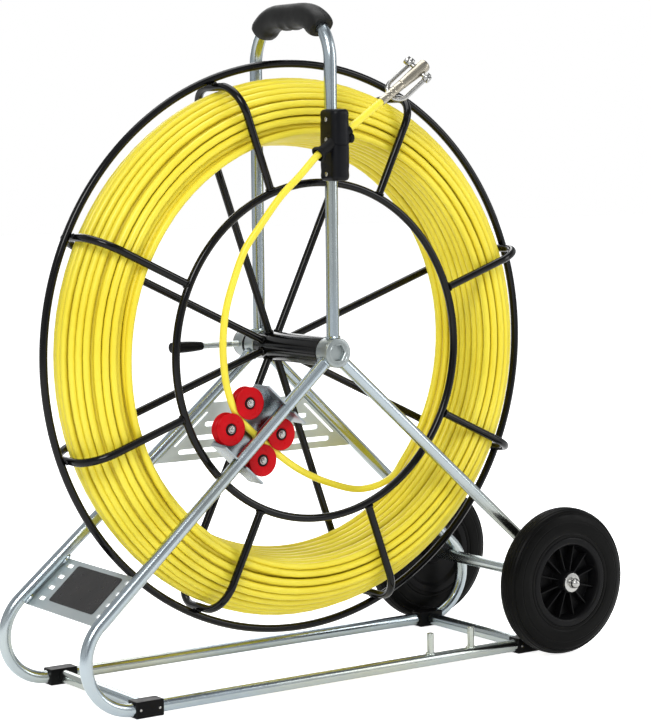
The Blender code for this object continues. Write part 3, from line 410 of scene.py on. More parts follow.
def loft(mesh, sections, closed=False):
    """Skin sections of points, which close on each other or end flat."""
    rings = [[mesh.verts.new(point) for point in section] for section in sections]
    for ring, follower in zip(rings, rings[1:]):
        bridge(mesh, ring, follower)
    if closed:
        bridge(mesh, rings[-1], rings[0])
    else:
        mesh.faces.new(rings[0])
        mesh.faces.new(rings[-1])


def soften(outline, amount, steps=3):
    """Round the corners of a lathe outline, apart from its first and last points."""
    points = [Vector(point) for point in outline]
    result = [outline[0]]
    for before, corner, after in zip(points, points[1:], points[2:]):
        back, on = before - corner, after - corner
        cut = min(amount, back.length * 0.42, on.length * 0.42)
        if cut < 1e-5 or corner.x < 1e-6:
            result.append(tuple(corner))
            continue
        start = corner + back.normalized() * cut
        end = corner + on.normalized() * cut
        for k in range(steps + 1):
            t = k / steps
            result.append(tuple(start.lerp(corner, t).lerp(corner.lerp(end, t), t)))
    result.append(outline[-1])
    return result


def lathe_into(mesh, outline, steps, matrix, closed=True):
    """Add a turned shape to mesh. The outline is (radius, height) points, closed on itself or on the axis."""
    on_axis = outline[0][0] < 1e-7 and outline[-1][0] < 1e-7
    rings = []
    for radius, height in outline:
        turns = circle(1 if radius < 1e-7 else steps)
        rings.append([mesh.verts.new(matrix @ polar(radius, turn, height)) for turn in turns])
    if closed and not on_axis:
        rings.append(rings[0])
    for ring, follower in zip(rings, rings[1:]):
        if len(ring) == 1 and len(follower) == 1:
            continue
        for k in range(steps):
            n = (k + 1) % steps
            corners = [ring[k % len(ring)], ring[n % len(ring)], follower[n % len(follower)],
                       follower[k % len(follower)]]
            mesh.faces.new(list(dict.fromkeys(corners)))


def turned(name, outline, steps, matrix, slot, body, stands_for=(), edge=0.0004, finish=None):
    mesh = bmesh.new()
    ready = soften(outline, edge)
    if outline[0][0] > 1e-7:
        ready = soften([outline[-1]] + outline + [outline[0]], edge)[1:-1]
    lathe_into(mesh, ready, steps, matrix)
    return place_piece(name, mesh, slot, body, stands_for, finish)


def transport_frames(path, closed):
    """Right and up directions along a path, carried on without twist."""
    count = len(path)
    tangents = []
    for i, point in enumerate(path):
        before = path[i - 1] if (i or closed) else point
        after = path[(i + 1) % count] if (i < count - 1 or closed) else point
        tangents.append((after - before).normalized())
    start = Vector((0, 1, 0)) if abs(tangents[0].y) < 0.9 else Vector((1, 0, 0))
    right = tangents[0].cross(start).normalized()
    frames = []
    for i, tangent in enumerate(tangents):
        if i:
            right = tangents[i - 1].rotation_difference(tangent) @ right
        right = (right - tangent * right.dot(tangent)).normalized()
        frames.append((right, tangent.cross(right)))
    return frames


def sweep_into(mesh, path, radius, sides, closed=False):
    """Add a round bar along a path, with flat ends."""
    spots = [polar(radius, turn) for turn in circle(sides)]
    loft(mesh, [[point + right * spot.x + up * spot.y for spot in spots]
                for point, (right, up) in zip(path, transport_frames(path, closed))], closed)


def swept(name, path, radius, sides, slot, body, stands_for=(), closed=False):
    mesh = bmesh.new()
    sweep_into(mesh, [Vector(point) for point in path], radius, sides, closed)
    return place_piece(name, mesh, slot, body, stands_for)


def arc(centre, radius, start, end, steps, place):
    points = []
    for i in range(steps + 1):
        spot = polar(radius, start + (end - start) * i / steps)
        points.append(place(centre[0] + spot.x, centre[1] + spot.y))
    return points


def axle_frame(x, z):
    """Local +Z along world +Y."""
    return Matrix.Translation((x, 0, z)) @ Matrix.Rotation(-pi / 2, 4, "X")


def frame_at(place, direction):
    """Local +Z along direction."""
    turn = Vector(direction).to_track_quat("Z", "Y").to_matrix().to_4x4()
    return Matrix.Translation(place) @ turn


def bead_into(mesh, centre, axis, radius, size, seed, lumps=26):
    """Add a lumpy ring of weld round a joint."""
    matrix = frame_at(centre, axis)
    sections = []
    for turn in circle(40):
        swell = 1 + 0.22 * sin(lumps * turn) + 0.35 * noise.noise(polar(1, turn, seed))
        around = [polar(size * swell, aside) for aside in circle(8)]
        sections.append([matrix @ polar(radius + spot.x, turn, spot.y) for spot in around])
    loft(mesh, sections, closed=True)


REEL_AXIS = axle_frame(REEL_X, AXIS_Z)


# --- stand

def loop_y(side, height):
    share = (AXIS_Z - height) / (AXIS_Z - RAIL_Z)
    return side * (UPRIGHT_Y + (RAIL_Y[side] - UPRIGHT_Y) * share)


def diagonal_angle(end):
    dx, dz = BEND_CENTRE_X[end], AXIS_Z - BEND_CENTRE_Z
    return atan2(dz, dx) - asin(BEND_R / hypot(dx, dz))


def diagonal(end):
    """Direction of a side loop's diagonal, down from the boss."""
    slope = diagonal_angle(end)
    return Vector((end * cos(slope), 0, -sin(slope)))


def loop_path(side):
    """Boss, left diagonal, bend, floor rail, bend, right diagonal, boss."""
    left_slope, right_slope = diagonal_angle(LEFT), diagonal_angle(RIGHT)

    def place(x, z):
        return Vector((REEL_X + x, loop_y(side, z), z))

    head, tail = (diagonal(end) * (BOSS_R - WELD_IN) for end in (LEFT, RIGHT))
    left = arc((-BEND_CENTRE_X[LEFT], BEND_CENTRE_Z), BEND_R, pi / 2 + left_slope, 1.5 * pi, 28, place)
    right = arc((BEND_CENTRE_X[RIGHT], BEND_CENTRE_Z), BEND_R, -pi / 2, pi / 2 - right_slope, 28, place)
    return [place(head.x, AXIS_Z + head.z)] + left + right + [place(tail.x, AXIS_Z + tail.z)]


def handle_path():
    foot = AXIS_Z + BOSS_R - WELD_IN

    def place(y, z):
        return Vector((REEL_X, y, z))

    near = arc((-HOOP_Y, HOOP_Z), BEND_R, pi, pi / 2, 22, place)
    far = arc((HOOP_Y, HOOP_Z), BEND_R, pi / 2, 0, 22, place)
    return [place(-UPRIGHT_Y, foot)] + near + far + [place(UPRIGHT_Y, foot)]


def stand_tube(name, path, node):
    swept(name, path, TUBE_R, 28, "zinc", "stand", [node])


def make_tubes():
    for name, side in SIDES.items():
        stand_tube(name + "_loop", loop_path(side), name + "_side_tube")
    stand_tube("handle_hoop", handle_path(), "handle_tube")
    for name, x in CLAMP_X.items():
        ends = [(REEL_X + x, -RAIL_Y[NEAR] + TUBE_R + GAP, RAIL_Z), (REEL_X + x, RAIL_Y[FAR] - TUBE_R - GAP, RAIL_Z)]
        stand_tube(name + "_floor_bar_round", ends, name + "_floor_bar")
    x = REEL_X + WHEEL_DX
    ends = [(x, -TYRE_IN[NEAR] + 0.001, WHEEL_Z), (x, TYRE_IN[FAR] - 0.001, WHEEL_Z)]
    stand_tube("axle_sleeve", ends, "wheel_axle_tube")


def make_bosses():
    outline = [(SHAFT_BORE, BOSS_IN), (BOSS_R, BOSS_IN), (BOSS_R, BOSS_OUT), (BOSS_SINK_R, BOSS_OUT),
               (BOSS_SINK_R, BOSS_OUT - BOSS_SINK), (SHAFT_BORE, BOSS_OUT - BOSS_SINK)]
    for name, side in SIDES.items():
        turned(name + "_boss_sleeve", [(radius, side * height) for radius, height in outline], 72, REEL_AXIS, "zinc",
               "stand", [name + "_boss"], 0.0008, "machined")


def make_pins():
    low = RAIL_Z + TUBE_R - 0.0008
    outline = [(0, low), (0.0045, low), (0.0045, STOWAGE_TOP), (0, STOWAGE_TOP)]
    for number, x in enumerate(STOWAGE_X, 1):
        turned("stowage_peg_%d" % number, outline, 32, Matrix.Translation((REEL_X + x, -RAIL_Y[NEAR], 0)), "zinc",
               "stand", ["stowage_pin_%d" % number], 0.0009)


def make_stand_welds():
    mesh = bmesh.new()
    seed = 0.0
    for side in (NEAR, FAR):
        centre = Vector((REEL_X, side * UPRIGHT_Y, AXIS_Z))
        for direction in (Vector((0, 0, 1)), diagonal(LEFT), diagonal(RIGHT)):
            seed += 3.7
            bead_into(mesh, centre + direction * (BOSS_R + 0.0006), direction, TUBE_R, 0.0016, seed)
    for x in STOWAGE_X:
        seed += 3.7
        bead_into(mesh, Vector((REEL_X + x, -RAIL_Y[NEAR], RAIL_Z + TUBE_R - 0.0002)), (0, 0, 1), 0.0048, 0.0014,
                  seed, 14)
    place_piece("stand_welds", mesh, "zinc", "stand")


def make_clamp_rivets():
    mesh = bmesh.new()
    for side in (NEAR, FAR):
        face = side * (RAIL_Y[side] - CLAMP_INSET + CLAMP_SIZE[1] / 2)
        head = [(0, face - side * 0.0006), (0.0016, face - side * 0.0006), (0.0015, face + side * 0.0004),
                (0.0009, face + side * 0.0007), (0, face + side * 0.0008)]
        for x in CLAMP_X.values():
            for offset in (-0.013, 0.013):
                lathe_into(mesh, head, 18, axle_frame(REEL_X + x + offset, RAIL_Z))
    place_piece("clamp_rivets", mesh, "bright", "stand")


def rounded_outline(start, end, low, high, corner, steps=4):
    points = []
    left, right, foot, top = start + corner, end - corner, low + corner, high - corner
    for cx, cy, turn in ((right, top, 0), (left, top, 90), (left, foot, 180), (right, foot, 270)):
        for k in range(steps + 1):
            spot = polar(corner, radians(turn + 90 * k / steps))
            points.append((cx + spot.x, cy + spot.y))
    return points


def prism(points, place, low, high):
    """A bmesh solid of an outline, between two heights of a frame."""
    mesh = bmesh.new()
    loft(mesh, [[place @ Vector((x, y, height)) for x, y in points] for height in (low, high)])
    return mesh


def diagonal_axes():
    """Down the left diagonals, and square out of the plane through them."""
    down = diagonal(LEFT)
    return down, Vector((down.z, 0, -down.x))


def make_label_plate():
    """The sheet between the left diagonals, with slots down its sides and a plain dark label."""
    down, outward = diagonal_axes()
    top = Vector((REEL_X, 0, AXIS_Z)) - outward * (TUBE_R + GAP)
    place = Matrix.Translation(top) @ Matrix((down, (0, 1, 0), outward)).transposed().to_4x4()
    corners = ((NEAR, PLATE_TOP), (NEAR, PLATE_FOOT), (FAR, PLATE_FOOT), (FAR, PLATE_TOP))
    outline = [(distance, loop_y(side, AXIS_Z + down.z * distance) - side * 0.001) for side, distance in corners]
    sheet = place_piece("slotted_plate", prism(outline, place, -PLATE_THICK, 0), "zinc", "stand", ["label_plate"],
                        "satin")
    tools = []
    half_x, half_y = SLOT_HALF
    for row in range(4):
        x = SLOT_START + SLOT_PITCH * row
        for y in SLOT_Y:
            slot = rounded_outline(x - half_x, x + half_x, y - half_y, y + half_y, 0.0006, 2)
            tools.append(centred_object("slot_%d_%d" % (row, y > 0), prism(slot, place, -0.004, 0.002)))
    carve(sheet, tools)
    label = rounded_outline(0.3835, 0.441, -0.0455, 0.065, 0.004)
    place_piece("plain_label", prism(label, place, 0.00005, 0.0005), "plastic", "stand", finish="sticker")


def blob_into(mesh, centre, axis, length, width, seed):
    """Add a lumpy oval of weld."""
    matrix = frame_at(centre, axis)
    sections = []
    for i in range(1, 12):
        along = pi * i / 12
        section = []
        for turn in circle(12):
            swell = 1 + 0.5 * noise.noise(Vector((cos(turn), i * 0.6, seed)))
            section.append(matrix @ polar(width * sin(along) * swell, turn, -length * cos(along)))
        sections.append(section)
    loft(mesh, sections)


def make_plate_welds():
    down, outward = diagonal_axes()
    mesh = bmesh.new()
    for side in (NEAR, FAR):
        for distance in (0.38, 0.448):
            spot = Vector((REEL_X, 0, AXIS_Z)) + down * distance
            spot.y = loop_y(side, spot.z) - side * 0.0062
            blob_into(mesh, spot - outward * 0.0062, down, 0.0075, 0.0026, 5 * distance + side)
    place_piece("plate_welds", mesh, "zinc", "stand")


def make_clamps():
    """Moulded clamps that hold the floor bars to the rails."""
    bore = TUBE_R + GAP
    for name, side in SIDES.items():
        y = side * RAIL_Y[side]
        for end, dx in CLAMP_X.items():
            x = REEL_X + dx
            mesh = bmesh.new()
            bmesh.ops.create_cube(mesh, size=1)
            bmesh.ops.scale(mesh, vec=CLAMP_SIZE, verts=mesh.verts)
            bmesh.ops.translate(mesh, vec=(x, y - side * CLAMP_INSET, CLAMP_SIZE[2] / 2 + 0.0001), verts=mesh.verts)
            bmesh.ops.bevel(mesh, geom=list(mesh.edges), offset=0.0016, segments=3, profile=0.6, affect="EDGES")
            block = place_piece("%s_%s_moulded_clamp" % (name, end), mesh, "plastic", "stand",
                                ["%s_%s_clamp" % (name, end)])
            carve(block, [cutter("rail_bore", (x - 0.03, y, RAIL_Z), (x + 0.03, y, RAIL_Z), bore),
                          cutter("bar_bore", (x, y - side * 0.007, RAIL_Z), (x, y - side * 0.03, RAIL_Z), bore)])


# --- grip

GRIP_START = radians(45)
GRIP_BORE_R = TUBE_R + 0.0006


def grip_ridge(y):
    return 0.0022 * (exp(-((y + 0.008) / 0.0045) ** 2) + exp(-((y - 0.011) / 0.0045) ** 2))


def grip_stations():
    """Centre, outward direction, and the height of the finger ridge along the grip."""
    stations = []
    steps = 14
    for side in (NEAR, FAR):
        turns = [GRIP_START + (pi / 2 - GRIP_START) * k / steps for k in range(steps + 1)]
        if side == FAR:
            turns.reverse()
        for turn in turns:
            outward = Vector((0, side * cos(turn), sin(turn)))
            bump = 0.0016 * max(0.0, sin((turn - GRIP_START) * 8)) ** 2
            stations.append((Vector((REEL_X, side * HOOP_Y, HOOP_Z)) + outward * BEND_R, outward, bump))
        if side == NEAR:
            for k in range(1, 24):
                y = -HOOP_Y + 2 * HOOP_Y * k / 24
                stations.append((Vector((REEL_X, y, HANDLE_TOP)), Vector((0, 0, 1)), grip_ridge(y)))
    return stations


def grip_outline(side, spot, outward, ridge, swell):
    across = Vector((side, 0, 0))
    half_width, above, below = 0.016 * swell, 0.015 * swell, (0.0162 + ridge) * swell
    split = 0.00015
    outline = []
    for k in range(15):
        turn = pi / 2 - pi * k / 14
        height = above if turn > 0 else below
        wide = max(split, half_width * abs(cos(turn)) ** 0.72)
        tall = height * abs(sin(turn)) ** 0.8 * (1 if turn > 0 else -1)
        outline.append((wide, tall))
    for k in range(11):
        turn = -pi / 2 + pi * k / 10
        outline.append((max(split, GRIP_BORE_R * cos(turn)), GRIP_BORE_R * sin(turn)))
    return [spot + across * w + outward * h for w, h in outline]


def make_grip():
    stations = grip_stations()
    for node, side in (("grip_left_half", -1), ("grip_right_half", 1)):
        mesh = bmesh.new()
        sections = []
        for i, (spot, outward, ridge) in enumerate(stations):
            swell = (0.93, 0.985, 1.0)[min(i, len(stations) - 1 - i, 2)]
            sections.append(grip_outline(side, spot, outward, ridge, swell))
        loft(mesh, sections)
        place_piece(node + "_moulded", mesh, "grip", "stand", [node], crease=50)


# --- guide and pulling head

GUIDE_WAY = Vector((cos(GUIDE_ANGLE), 0, sin(GUIDE_ANGLE)))
PIN_WAY = Vector((GUIDE_WAY.z, 0, -GUIDE_WAY.x)) * cos(PIN_LEAN) + Vector((0, -1, 0)) * sin(PIN_LEAN)


def guide_point(distance):
    return Vector((REEL_X, GUIDE_Y, GUIDE_CROSS_Z)) + GUIDE_WAY * distance


GUIDE_FRAME = frame_at(guide_point(0), GUIDE_WAY)


def carve(piece, cutters):
    """Cut holes in a piece and keep the result as its own mesh."""
    for tool in cutters:
        step = piece.modifiers.new(tool.name, "BOOLEAN")
        step.operation = "DIFFERENCE"
        step.solver = "EXACT"
        step.object = tool
    graph = bpy.context.evaluated_depsgraph_get()
    piece_data = bpy.data.meshes.new_from_object(piece.evaluated_get(graph))
    piece.modifiers.clear()
    piece.data = piece_data
    shade_smooth(piece_data, 35)
    for tool in cutters:
        bpy.data.objects.remove(tool)


def cutter(name, start, end, radius):
    mesh = bmesh.new()
    reach = Vector(end) - Vector(start)
    lathe_into(mesh, [(0, 0), (radius, 0), (radius, reach.length), (0, reach.length)], 40, frame_at(start, reach))
    return centred_object(name, mesh)


def block_levels():
    """Height and inset of the guide block's sections: rounded ends, a seam between its halves, and end grooves."""
    levels = []
    for k in range(7):
        turn = pi / 2 * k / 6
        levels.append((GUIDE_LOW + 0.0065 * (1 - cos(turn)), 0.0042 * (1 - sin(turn))))
    seam = (GUIDE_LOW + GUIDE_HIGH) / 2
    levels += [(seam - 0.0006, 0), (seam, 0.0005), (seam + 0.0006, 0)]
    levels += [(GUIDE_LOW + GUIDE_HIGH - height, inset) for height, inset in reversed(levels[:7])]
    full = []
    for (low, start), (high, end) in zip(levels, levels[1:]):
        full += [(low + (high - low) * k / 6, start + (end - start) * k / 6) for k in range(6)]
    full.append(levels[-1])
    grooved = []
    for height, inset in full:
        end = min(height - GUIDE_LOW, GUIDE_HIGH - height)
        grooved.append((height, inset + 0.0009 * exp(-((end - 0.0115) / 0.0014) ** 2)))
    return grooved


def make_guide_block():
    half_x, y_front, y_back = 0.013, -0.111, -0.0735
    middle = (y_front + y_back) / 2
    outline = rounded_outline(-half_x, half_x, y_front, y_back, 0.0095, 8)
    mesh = bmesh.new()
    layers = []
    for height, inset in block_levels():
        sx, sy = 1 - inset / half_x, 1 - inset / (y_back - middle)
        layers.append([(REEL_X + x * sx, middle + (y - middle) * sy, height) for x, y in outline])
    loft(mesh, layers)
    block = place_piece("guide_body", mesh, "guide", "stand", ["guide_block"])
    carve(block, [cutter("upright_bore", (REEL_X, -UPRIGHT_Y, GUIDE_LOW - 0.01),
                         (REEL_X, -UPRIGHT_Y, GUIDE_HIGH + 0.01), TUBE_R + 2 * GAP),
                  cutter("rod_bore", guide_point(-0.06), guide_point(0.06), GUIDE_TUBE_R + GAP)])
    head = [(0, -0.002), (0.0028, -0.002), (0.0028, 0.0004), (0.0022, 0.001), (0.0012, 0.0013), (0.001, 0.0004),
            (0, 0.0004)]
    mesh = bmesh.new()
    for z in GUIDE_SCREW_Z:
        lathe_into(mesh, head, 20, frame_at((REEL_X - half_x, -0.0925, AXIS_Z + z), (-1, 0, 0)))
    place_piece("guide_screws", mesh, "bright", "stand")
    knob = [(0, -0.001), (0.0044, -0.001), (0.0044, 0.0016), (0.006, 0.0018), (0.0062, 0.006), (0.0054, 0.0068),
            (0, 0.007)]
    turned("guide_lock_knob", knob, 32, frame_at((REEL_X + half_x, -0.1015, AXIS_Z + 0.2655), (1, 0, 0)), "rubber",
           "stand", (), 0.0005)


def make_guide_tube():
    bore, outer, flare = GUIDE_BORE_R, GUIDE_TUBE_R, GUIDE_TUBE_R + 0.0032
    low, high = GUIDE_ENTRY, GUIDE_EXIT - 0.007
    outline = [(bore + 0.0028, low), (flare, low), (flare, low + 0.003), (outer, low + 0.008), (outer, high - 0.003),
               (outer + 0.001, high - 0.002), (outer + 0.001, high), (bore + 0.001, high), (bore, high - 0.002),
               (bore, low + 0.008)]
    turned("guide_sleeve", outline, 48, GUIDE_FRAME, "rubber", "stand", ["guide_tube"], 0.0006)


def make_head():
    ferrule = [(0, FERRULE_END - 0.002), (ROD_R + GAP, FERRULE_END - 0.002), (ROD_R + GAP, FERRULE_START),
               (0.0051, FERRULE_START), (0.0053, FERRULE_START + 0.003)]
    for k in range(3):
        spot = FERRULE_START + 0.01 + 0.007 * k
        radius = 0.0054 + 0.0002 * k
        ferrule += [(radius, spot - 0.0018), (radius - 0.0003, spot - 0.0008), (radius - 0.0003, spot + 0.0008),
                    (radius, spot + 0.0018)]
    ferrule += [(0.006, FERRULE_END), (0, FERRULE_END)]
    turned("crimped_ferrule", ferrule, 40, GUIDE_FRAME, "bright", "stand", ["rod_ferrule"], 0.0003, "champagne")
    start = FERRULE_END + GAP
    outline = [(0, start), (0.0058, start), (0.0062, start + 0.0015), (0.0066, start + 0.01),
               (0.0078, start + 0.028), (0.0084, HEAD_END - 0.006), (0.0083, HEAD_END - 0.002),
               (0.0072, HEAD_END), (0.004, HEAD_END), (0.0036, HEAD_END - 0.0014), (0, HEAD_END - 0.0014)]
    head = turned("pulling_eye_head", outline, 48, GUIDE_FRAME, "bright", "stand", ["pulling_head"], 0.0005,
                  "champagne")
    pivot = guide_point(PIN_AT)
    reach = PIN_WAY * 0.02
    carve(head, [cutter("pin_bore", pivot - reach, pivot + reach, PIN_R + GAP)])


def make_shackle():
    pivot = guide_point(PIN_AT)
    pin = PIN_WAY
    behind = GUIDE_WAY.cross(pin)
    back = (-GUIDE_WAY * cos(SHACKLE_FOLD) + behind * sin(SHACKLE_FOLD)).normalized()
    half = SHACKLE_HALF
    path = [pivot - pin * half + back * (0.005 + 0.0075 * k) for k in range(4)]
    for k in range(25):
        turn = pi * k / 24
        path.append(pivot + back * SHACKLE_ARM + (-pin * cos(turn) + back * sin(turn)) * half)
    path += [pivot + pin * half + back * (0.0275 - 0.0075 * k) for k in range(4)]
    mesh = bmesh.new()
    sweep_into(mesh, path, SHACKLE_STOCK, 20)
    eye = [(PIN_R + GAP, -0.0028), (0.006, -0.0028), (0.0066, -0.002), (0.0066, 0.002), (0.006, 0.0028),
           (PIN_R + GAP, 0.0028)]
    for side in (-1, 1):
        lathe_into(mesh, eye, 36, frame_at(pivot + pin * side * half, pin))
    place_piece("u_shackle", mesh, "bright", "head_shackle", ["shackle"])
    reach = half + 0.0033
    outline = [(0, -reach - 0.0042), (0.005, -reach - 0.0042), (0.0056, -reach - 0.0034), (0.0056, -reach),
               (PIN_R, -reach), (PIN_R, reach), (0.0048, reach), (0.0048, reach + 0.0016), (0, reach + 0.0016)]
    turned("cross_pin", outline, 36, frame_at(pivot, pin), "bright", "head_shackle", ["shackle_pin"], 0.0004)


# --- rollers

def roller_place(along, across):
    x = ROLLER_DX - along * cos(ROLLER_ANGLE) + across * sin(ROLLER_ANGLE)
    z = ROLLER_DZ - along * sin(ROLLER_ANGLE) - across * cos(ROLLER_ANGLE)
    return Vector((REEL_X + x, ROLLER_Y, AXIS_Z + z))


def make_rollers():
    half, flange, bore = ROLLER_HALF, ROLLER_FLANGE_R, ROLLER_BOLT_R + GAP
    groove = []
    for k in range(13):
        spot = polar(GROOVE_R, radians(-76 + 152 * k / 12))
        groove.append((ROLLER_ALONG - spot.x, spot.y))
    outline = [(bore, -half + 0.001), (0.0076, -half + 0.001), (0.0082, -half), (flange - 0.001, -half),
               (flange, -half + 0.0008)] + groove + [(flange, half - 0.0008), (flange - 0.001, half), (bore, half)]
    seal = [(0.0052, -half + 0.0012), (0.0052, -half + 0.0002), (0.0072, -half + 0.0002), (0.0074, -half + 0.0012)]
    front, back = half + GAP, PLATE_Y - ROLLER_Y + GAP
    bolt = [(0, -front - 0.0034), (0.0018, -front - 0.0033), (0.0031, -front - 0.0028), (0.0038, -front - 0.0018),
            (0.0039, -front - 0.0008), (0.0049, -front - 0.0007), (0.0049, -front), (ROLLER_BOLT_R, -front),
            (ROLLER_BOLT_R, back), (0.0052, back), (0.0052, back + 0.0036), (0, back + 0.0036)]
    spots = [(a, c) for c in (-ROLLER_ACROSS, ROLLER_ACROSS) for a in (-ROLLER_ALONG, ROLLER_ALONG)]
    for number, (along, across) in enumerate(spots, 1):
        body = "guide_roller_%d" % number
        place = Matrix.Translation(roller_place(along, across)) @ Matrix.Rotation(-pi / 2, 4, "X")
        turned("grooved_roller_%d" % number, outline, 64, place, "roller", body, ["roller_%d" % number], 0.0003)
        turned("roller_seal_%d" % number, seal, 40, place, "rubber", body, (), 0.0002)
        turned("roller_axle_bolt_%d" % number, bolt, 32, place, "bright", "stand", ["roller_bolt_%d" % number],
               0.0003)


# --- reel

def reel_point(radius, turn, y):
    return Vector((REEL_X + radius * cos(turn), y, AXIS_Z + radius * sin(turn)))


def make_cage():
    for name, radius, y, steps in (("outer_ring", RING_R, 0.0, 224), ("inner_ring", INNER_RING_R, NEAR_Y, 160)):
        path = [reel_point(radius, RIB_PHASE + turn, y) for turn in circle(steps)]
        swept(name + "_bar", path, BAR_R, 16, "cage", "reel", [name], closed=True)
    inset = RIB_R - RIB_BEND
    welds = bmesh.new()
    for index, turn in enumerate(circle(RIB_COUNT)):
        turn += RIB_PHASE

        def place(radius, y):
            return reel_point(radius, turn, y)

        path = [place(HUB_R - 0.001, FAR_Y)]
        path += arc((inset, FAR_Y - RIB_BEND), RIB_BEND, pi / 2, 0, 16, place)
        path += arc((inset, NEAR_Y + RIB_BEND), RIB_BEND, 0, -pi / 2, 16, place)
        path.append(place(INNER_RING_R + BAR_R - 0.001, NEAR_Y))
        swept("rib_%d_bar" % (index + 1), path, BAR_R, 16, "cage", "reel", ["rib_%d" % (index + 1)])
        outward = Vector((cos(turn), 0, sin(turn)))
        bead_into(welds, place(INNER_RING_R + BAR_R + 0.0002, NEAR_Y), outward, BAR_R, 0.0013, 1.3 * index, 12)
        bead_into(welds, place(HUB_R + 0.0008, FAR_Y), outward, BAR_R, 0.0013, 9 + 1.3 * index, 12)
        for y in (-0.0045, 0.0045):
            bead_into(welds, place(RIB_R + BAR_R - 0.0002, y), outward, 0.002, 0.0012, 30 + index + y, 6)
    place_piece("cage_welds", welds, "cage", "reel")


def sleeve(inner, outer, low, high):
    """Lathe outline of a plain ring."""
    return [(inner, low), (outer, low), (outer, high), (inner, high)]


def make_hub():
    hub = sleeve(SHAFT_BORE, HUB_R, -HUB_END, HUB_END)
    turned("hub_sleeve", hub, 80, REEL_AXIS, "cage", "reel", ["hub_tube"], 0.0008)
    near, far = -0.0886, COLLAR_Y[1] + GAP
    outline = [(0, near + 0.03), (0.0053, near + 0.03), (0.0053, near), (SHAFT_R, near), (SHAFT_R, far),
               (BOSS_R, far), (BOSS_R, far + 0.002), (BOSS_R - 0.0008, far + 0.0028), (0, far + 0.0028)]
    turned("main_shaft", outline, 64, REEL_AXIS, "bright", "reel", ["reel_shaft"], 0.0004)


def make_socket_bolt():
    """The near bolt's flange with a hexagon socket."""
    flat = 0.0104 * cos(pi / 6)
    mesh = bmesh.new()

    def ring(y, radius=0.0, hexagon=0.0):
        """A circle, or a hexagon of a share of the socket's size."""
        points = []
        for turn in circle(72):
            reach = radius or flat / cos((turn % (pi / 3)) - pi / 6) * hexagon
            points.append(REEL_AXIS @ polar(reach, turn, y))
        return points

    flange = -BOSS_OUT - GAP
    face = flange - 0.0028
    profile = [(flange + 0.004, 0.0122), (flange, 0.0122), (flange, BOSS_R), (flange - 0.0018, BOSS_R),
               (flange - 0.0024, BOSS_R - 0.0004), (face, BOSS_R - 0.0012), (face, 0.014), (face + 0.0004, 0.0136),
               (face + 0.0004, 0.0124), (face, 0.012)]
    socket = [(face, 1.06), (face + 0.0006, 1.0), (face + 0.0052, 1.0)]
    loft(mesh, [ring(y, radius) for y, radius in profile] + [ring(y, hexagon=share) for y, share in socket])
    place_piece("near_socket_bolt", mesh, "zinc", "reel", ["near_shaft_bolt"], "machined")


# --- rod

def smooth_path(knots, steps):
    """A centripetal Catmull-Rom curve through the knots."""
    padded = [knots[0] * 2 - knots[1]] + knots + [knots[-1] * 2 - knots[-2]]
    path = [knots[0]]
    for p0, p1, p2, p3 in zip(padded, padded[1:], padded[2:], padded[3:]):
        t1 = (p1 - p0).length ** 0.5
        t2 = t1 + (p2 - p1).length ** 0.5
        t3 = t2 + (p3 - p2).length ** 0.5
        for k in range(1, steps + 1):
            t = t1 + (t2 - t1) * k / steps
            share = (t - t1) / (t2 - t1)
            first = p0.lerp(p1, t / t1)
            second = p1.lerp(p2, share)
            third = p2.lerp(p3, (t - t2) / (t3 - t2))
            path.append(first.lerp(second, t / t2).lerp(second.lerp(third, (t - t1) / (t3 - t1)), share))
    return path


def leader_path():
    def knots_of(places):
        return [Vector((REEL_X + x, y, AXIS_Z + z)) for x, z, y in places]

    straight = (FERRULE_END - 0.0045, FERRULE_START, 0.028, -0.006, GUIDE_ENTRY)
    rollers = [roller_place(0, across) for across in (-ROLLER_ACROSS, ROLLER_ACROSS)]
    knots = [guide_point(distance) for distance in straight]
    return smooth_path(knots + knots_of(LEADER_BOW) + rollers + knots_of(LEADER_TAIL), 10)


def inset_loop(outline, distance):
    """The outline drawn in by a distance, as a closed loop."""
    count = len(outline)
    result = []
    for i in range(count):
        before, corner, after = (Vector(outline[j % count]) for j in (i - 1, i, i + 1))
        first = (corner - before).normalized()
        second = (after - corner).normalized()
        normals = [Vector((-first.y, first.x)), Vector((-second.y, second.x))]
        middle = (normals[0] + normals[1]).normalized()
        result.append(corner + middle * distance / max(0.3, middle.dot(normals[0])))
    return result


def along_loop(loop, distance):
    """The point at a distance round a closed loop."""
    for point, after in zip(loop, loop[1:] + loop[:1]):
        step = (after - point).length
        if distance <= step:
            return point.lerp(after, distance / max(step, 1e-9))
        distance -= step
    return loop[0]


def coil_tracks():
    """Three layers of places, each a closed loop round the coil's section with an even pitch."""
    start = COIL_OUTLINE.index(COIL_START)
    tracks = []
    for depth in LAYER_DEPTHS:
        loop = inset_loop(COIL_OUTLINE[start:] + COIL_OUTLINE[:start], depth)
        length = sum((after - point).length for point, after in zip(loop, loop[1:] + loop[:1]))
        turns = int(length / COIL_PITCH)
        tracks.append((loop, length / turns, turns))
    return tracks


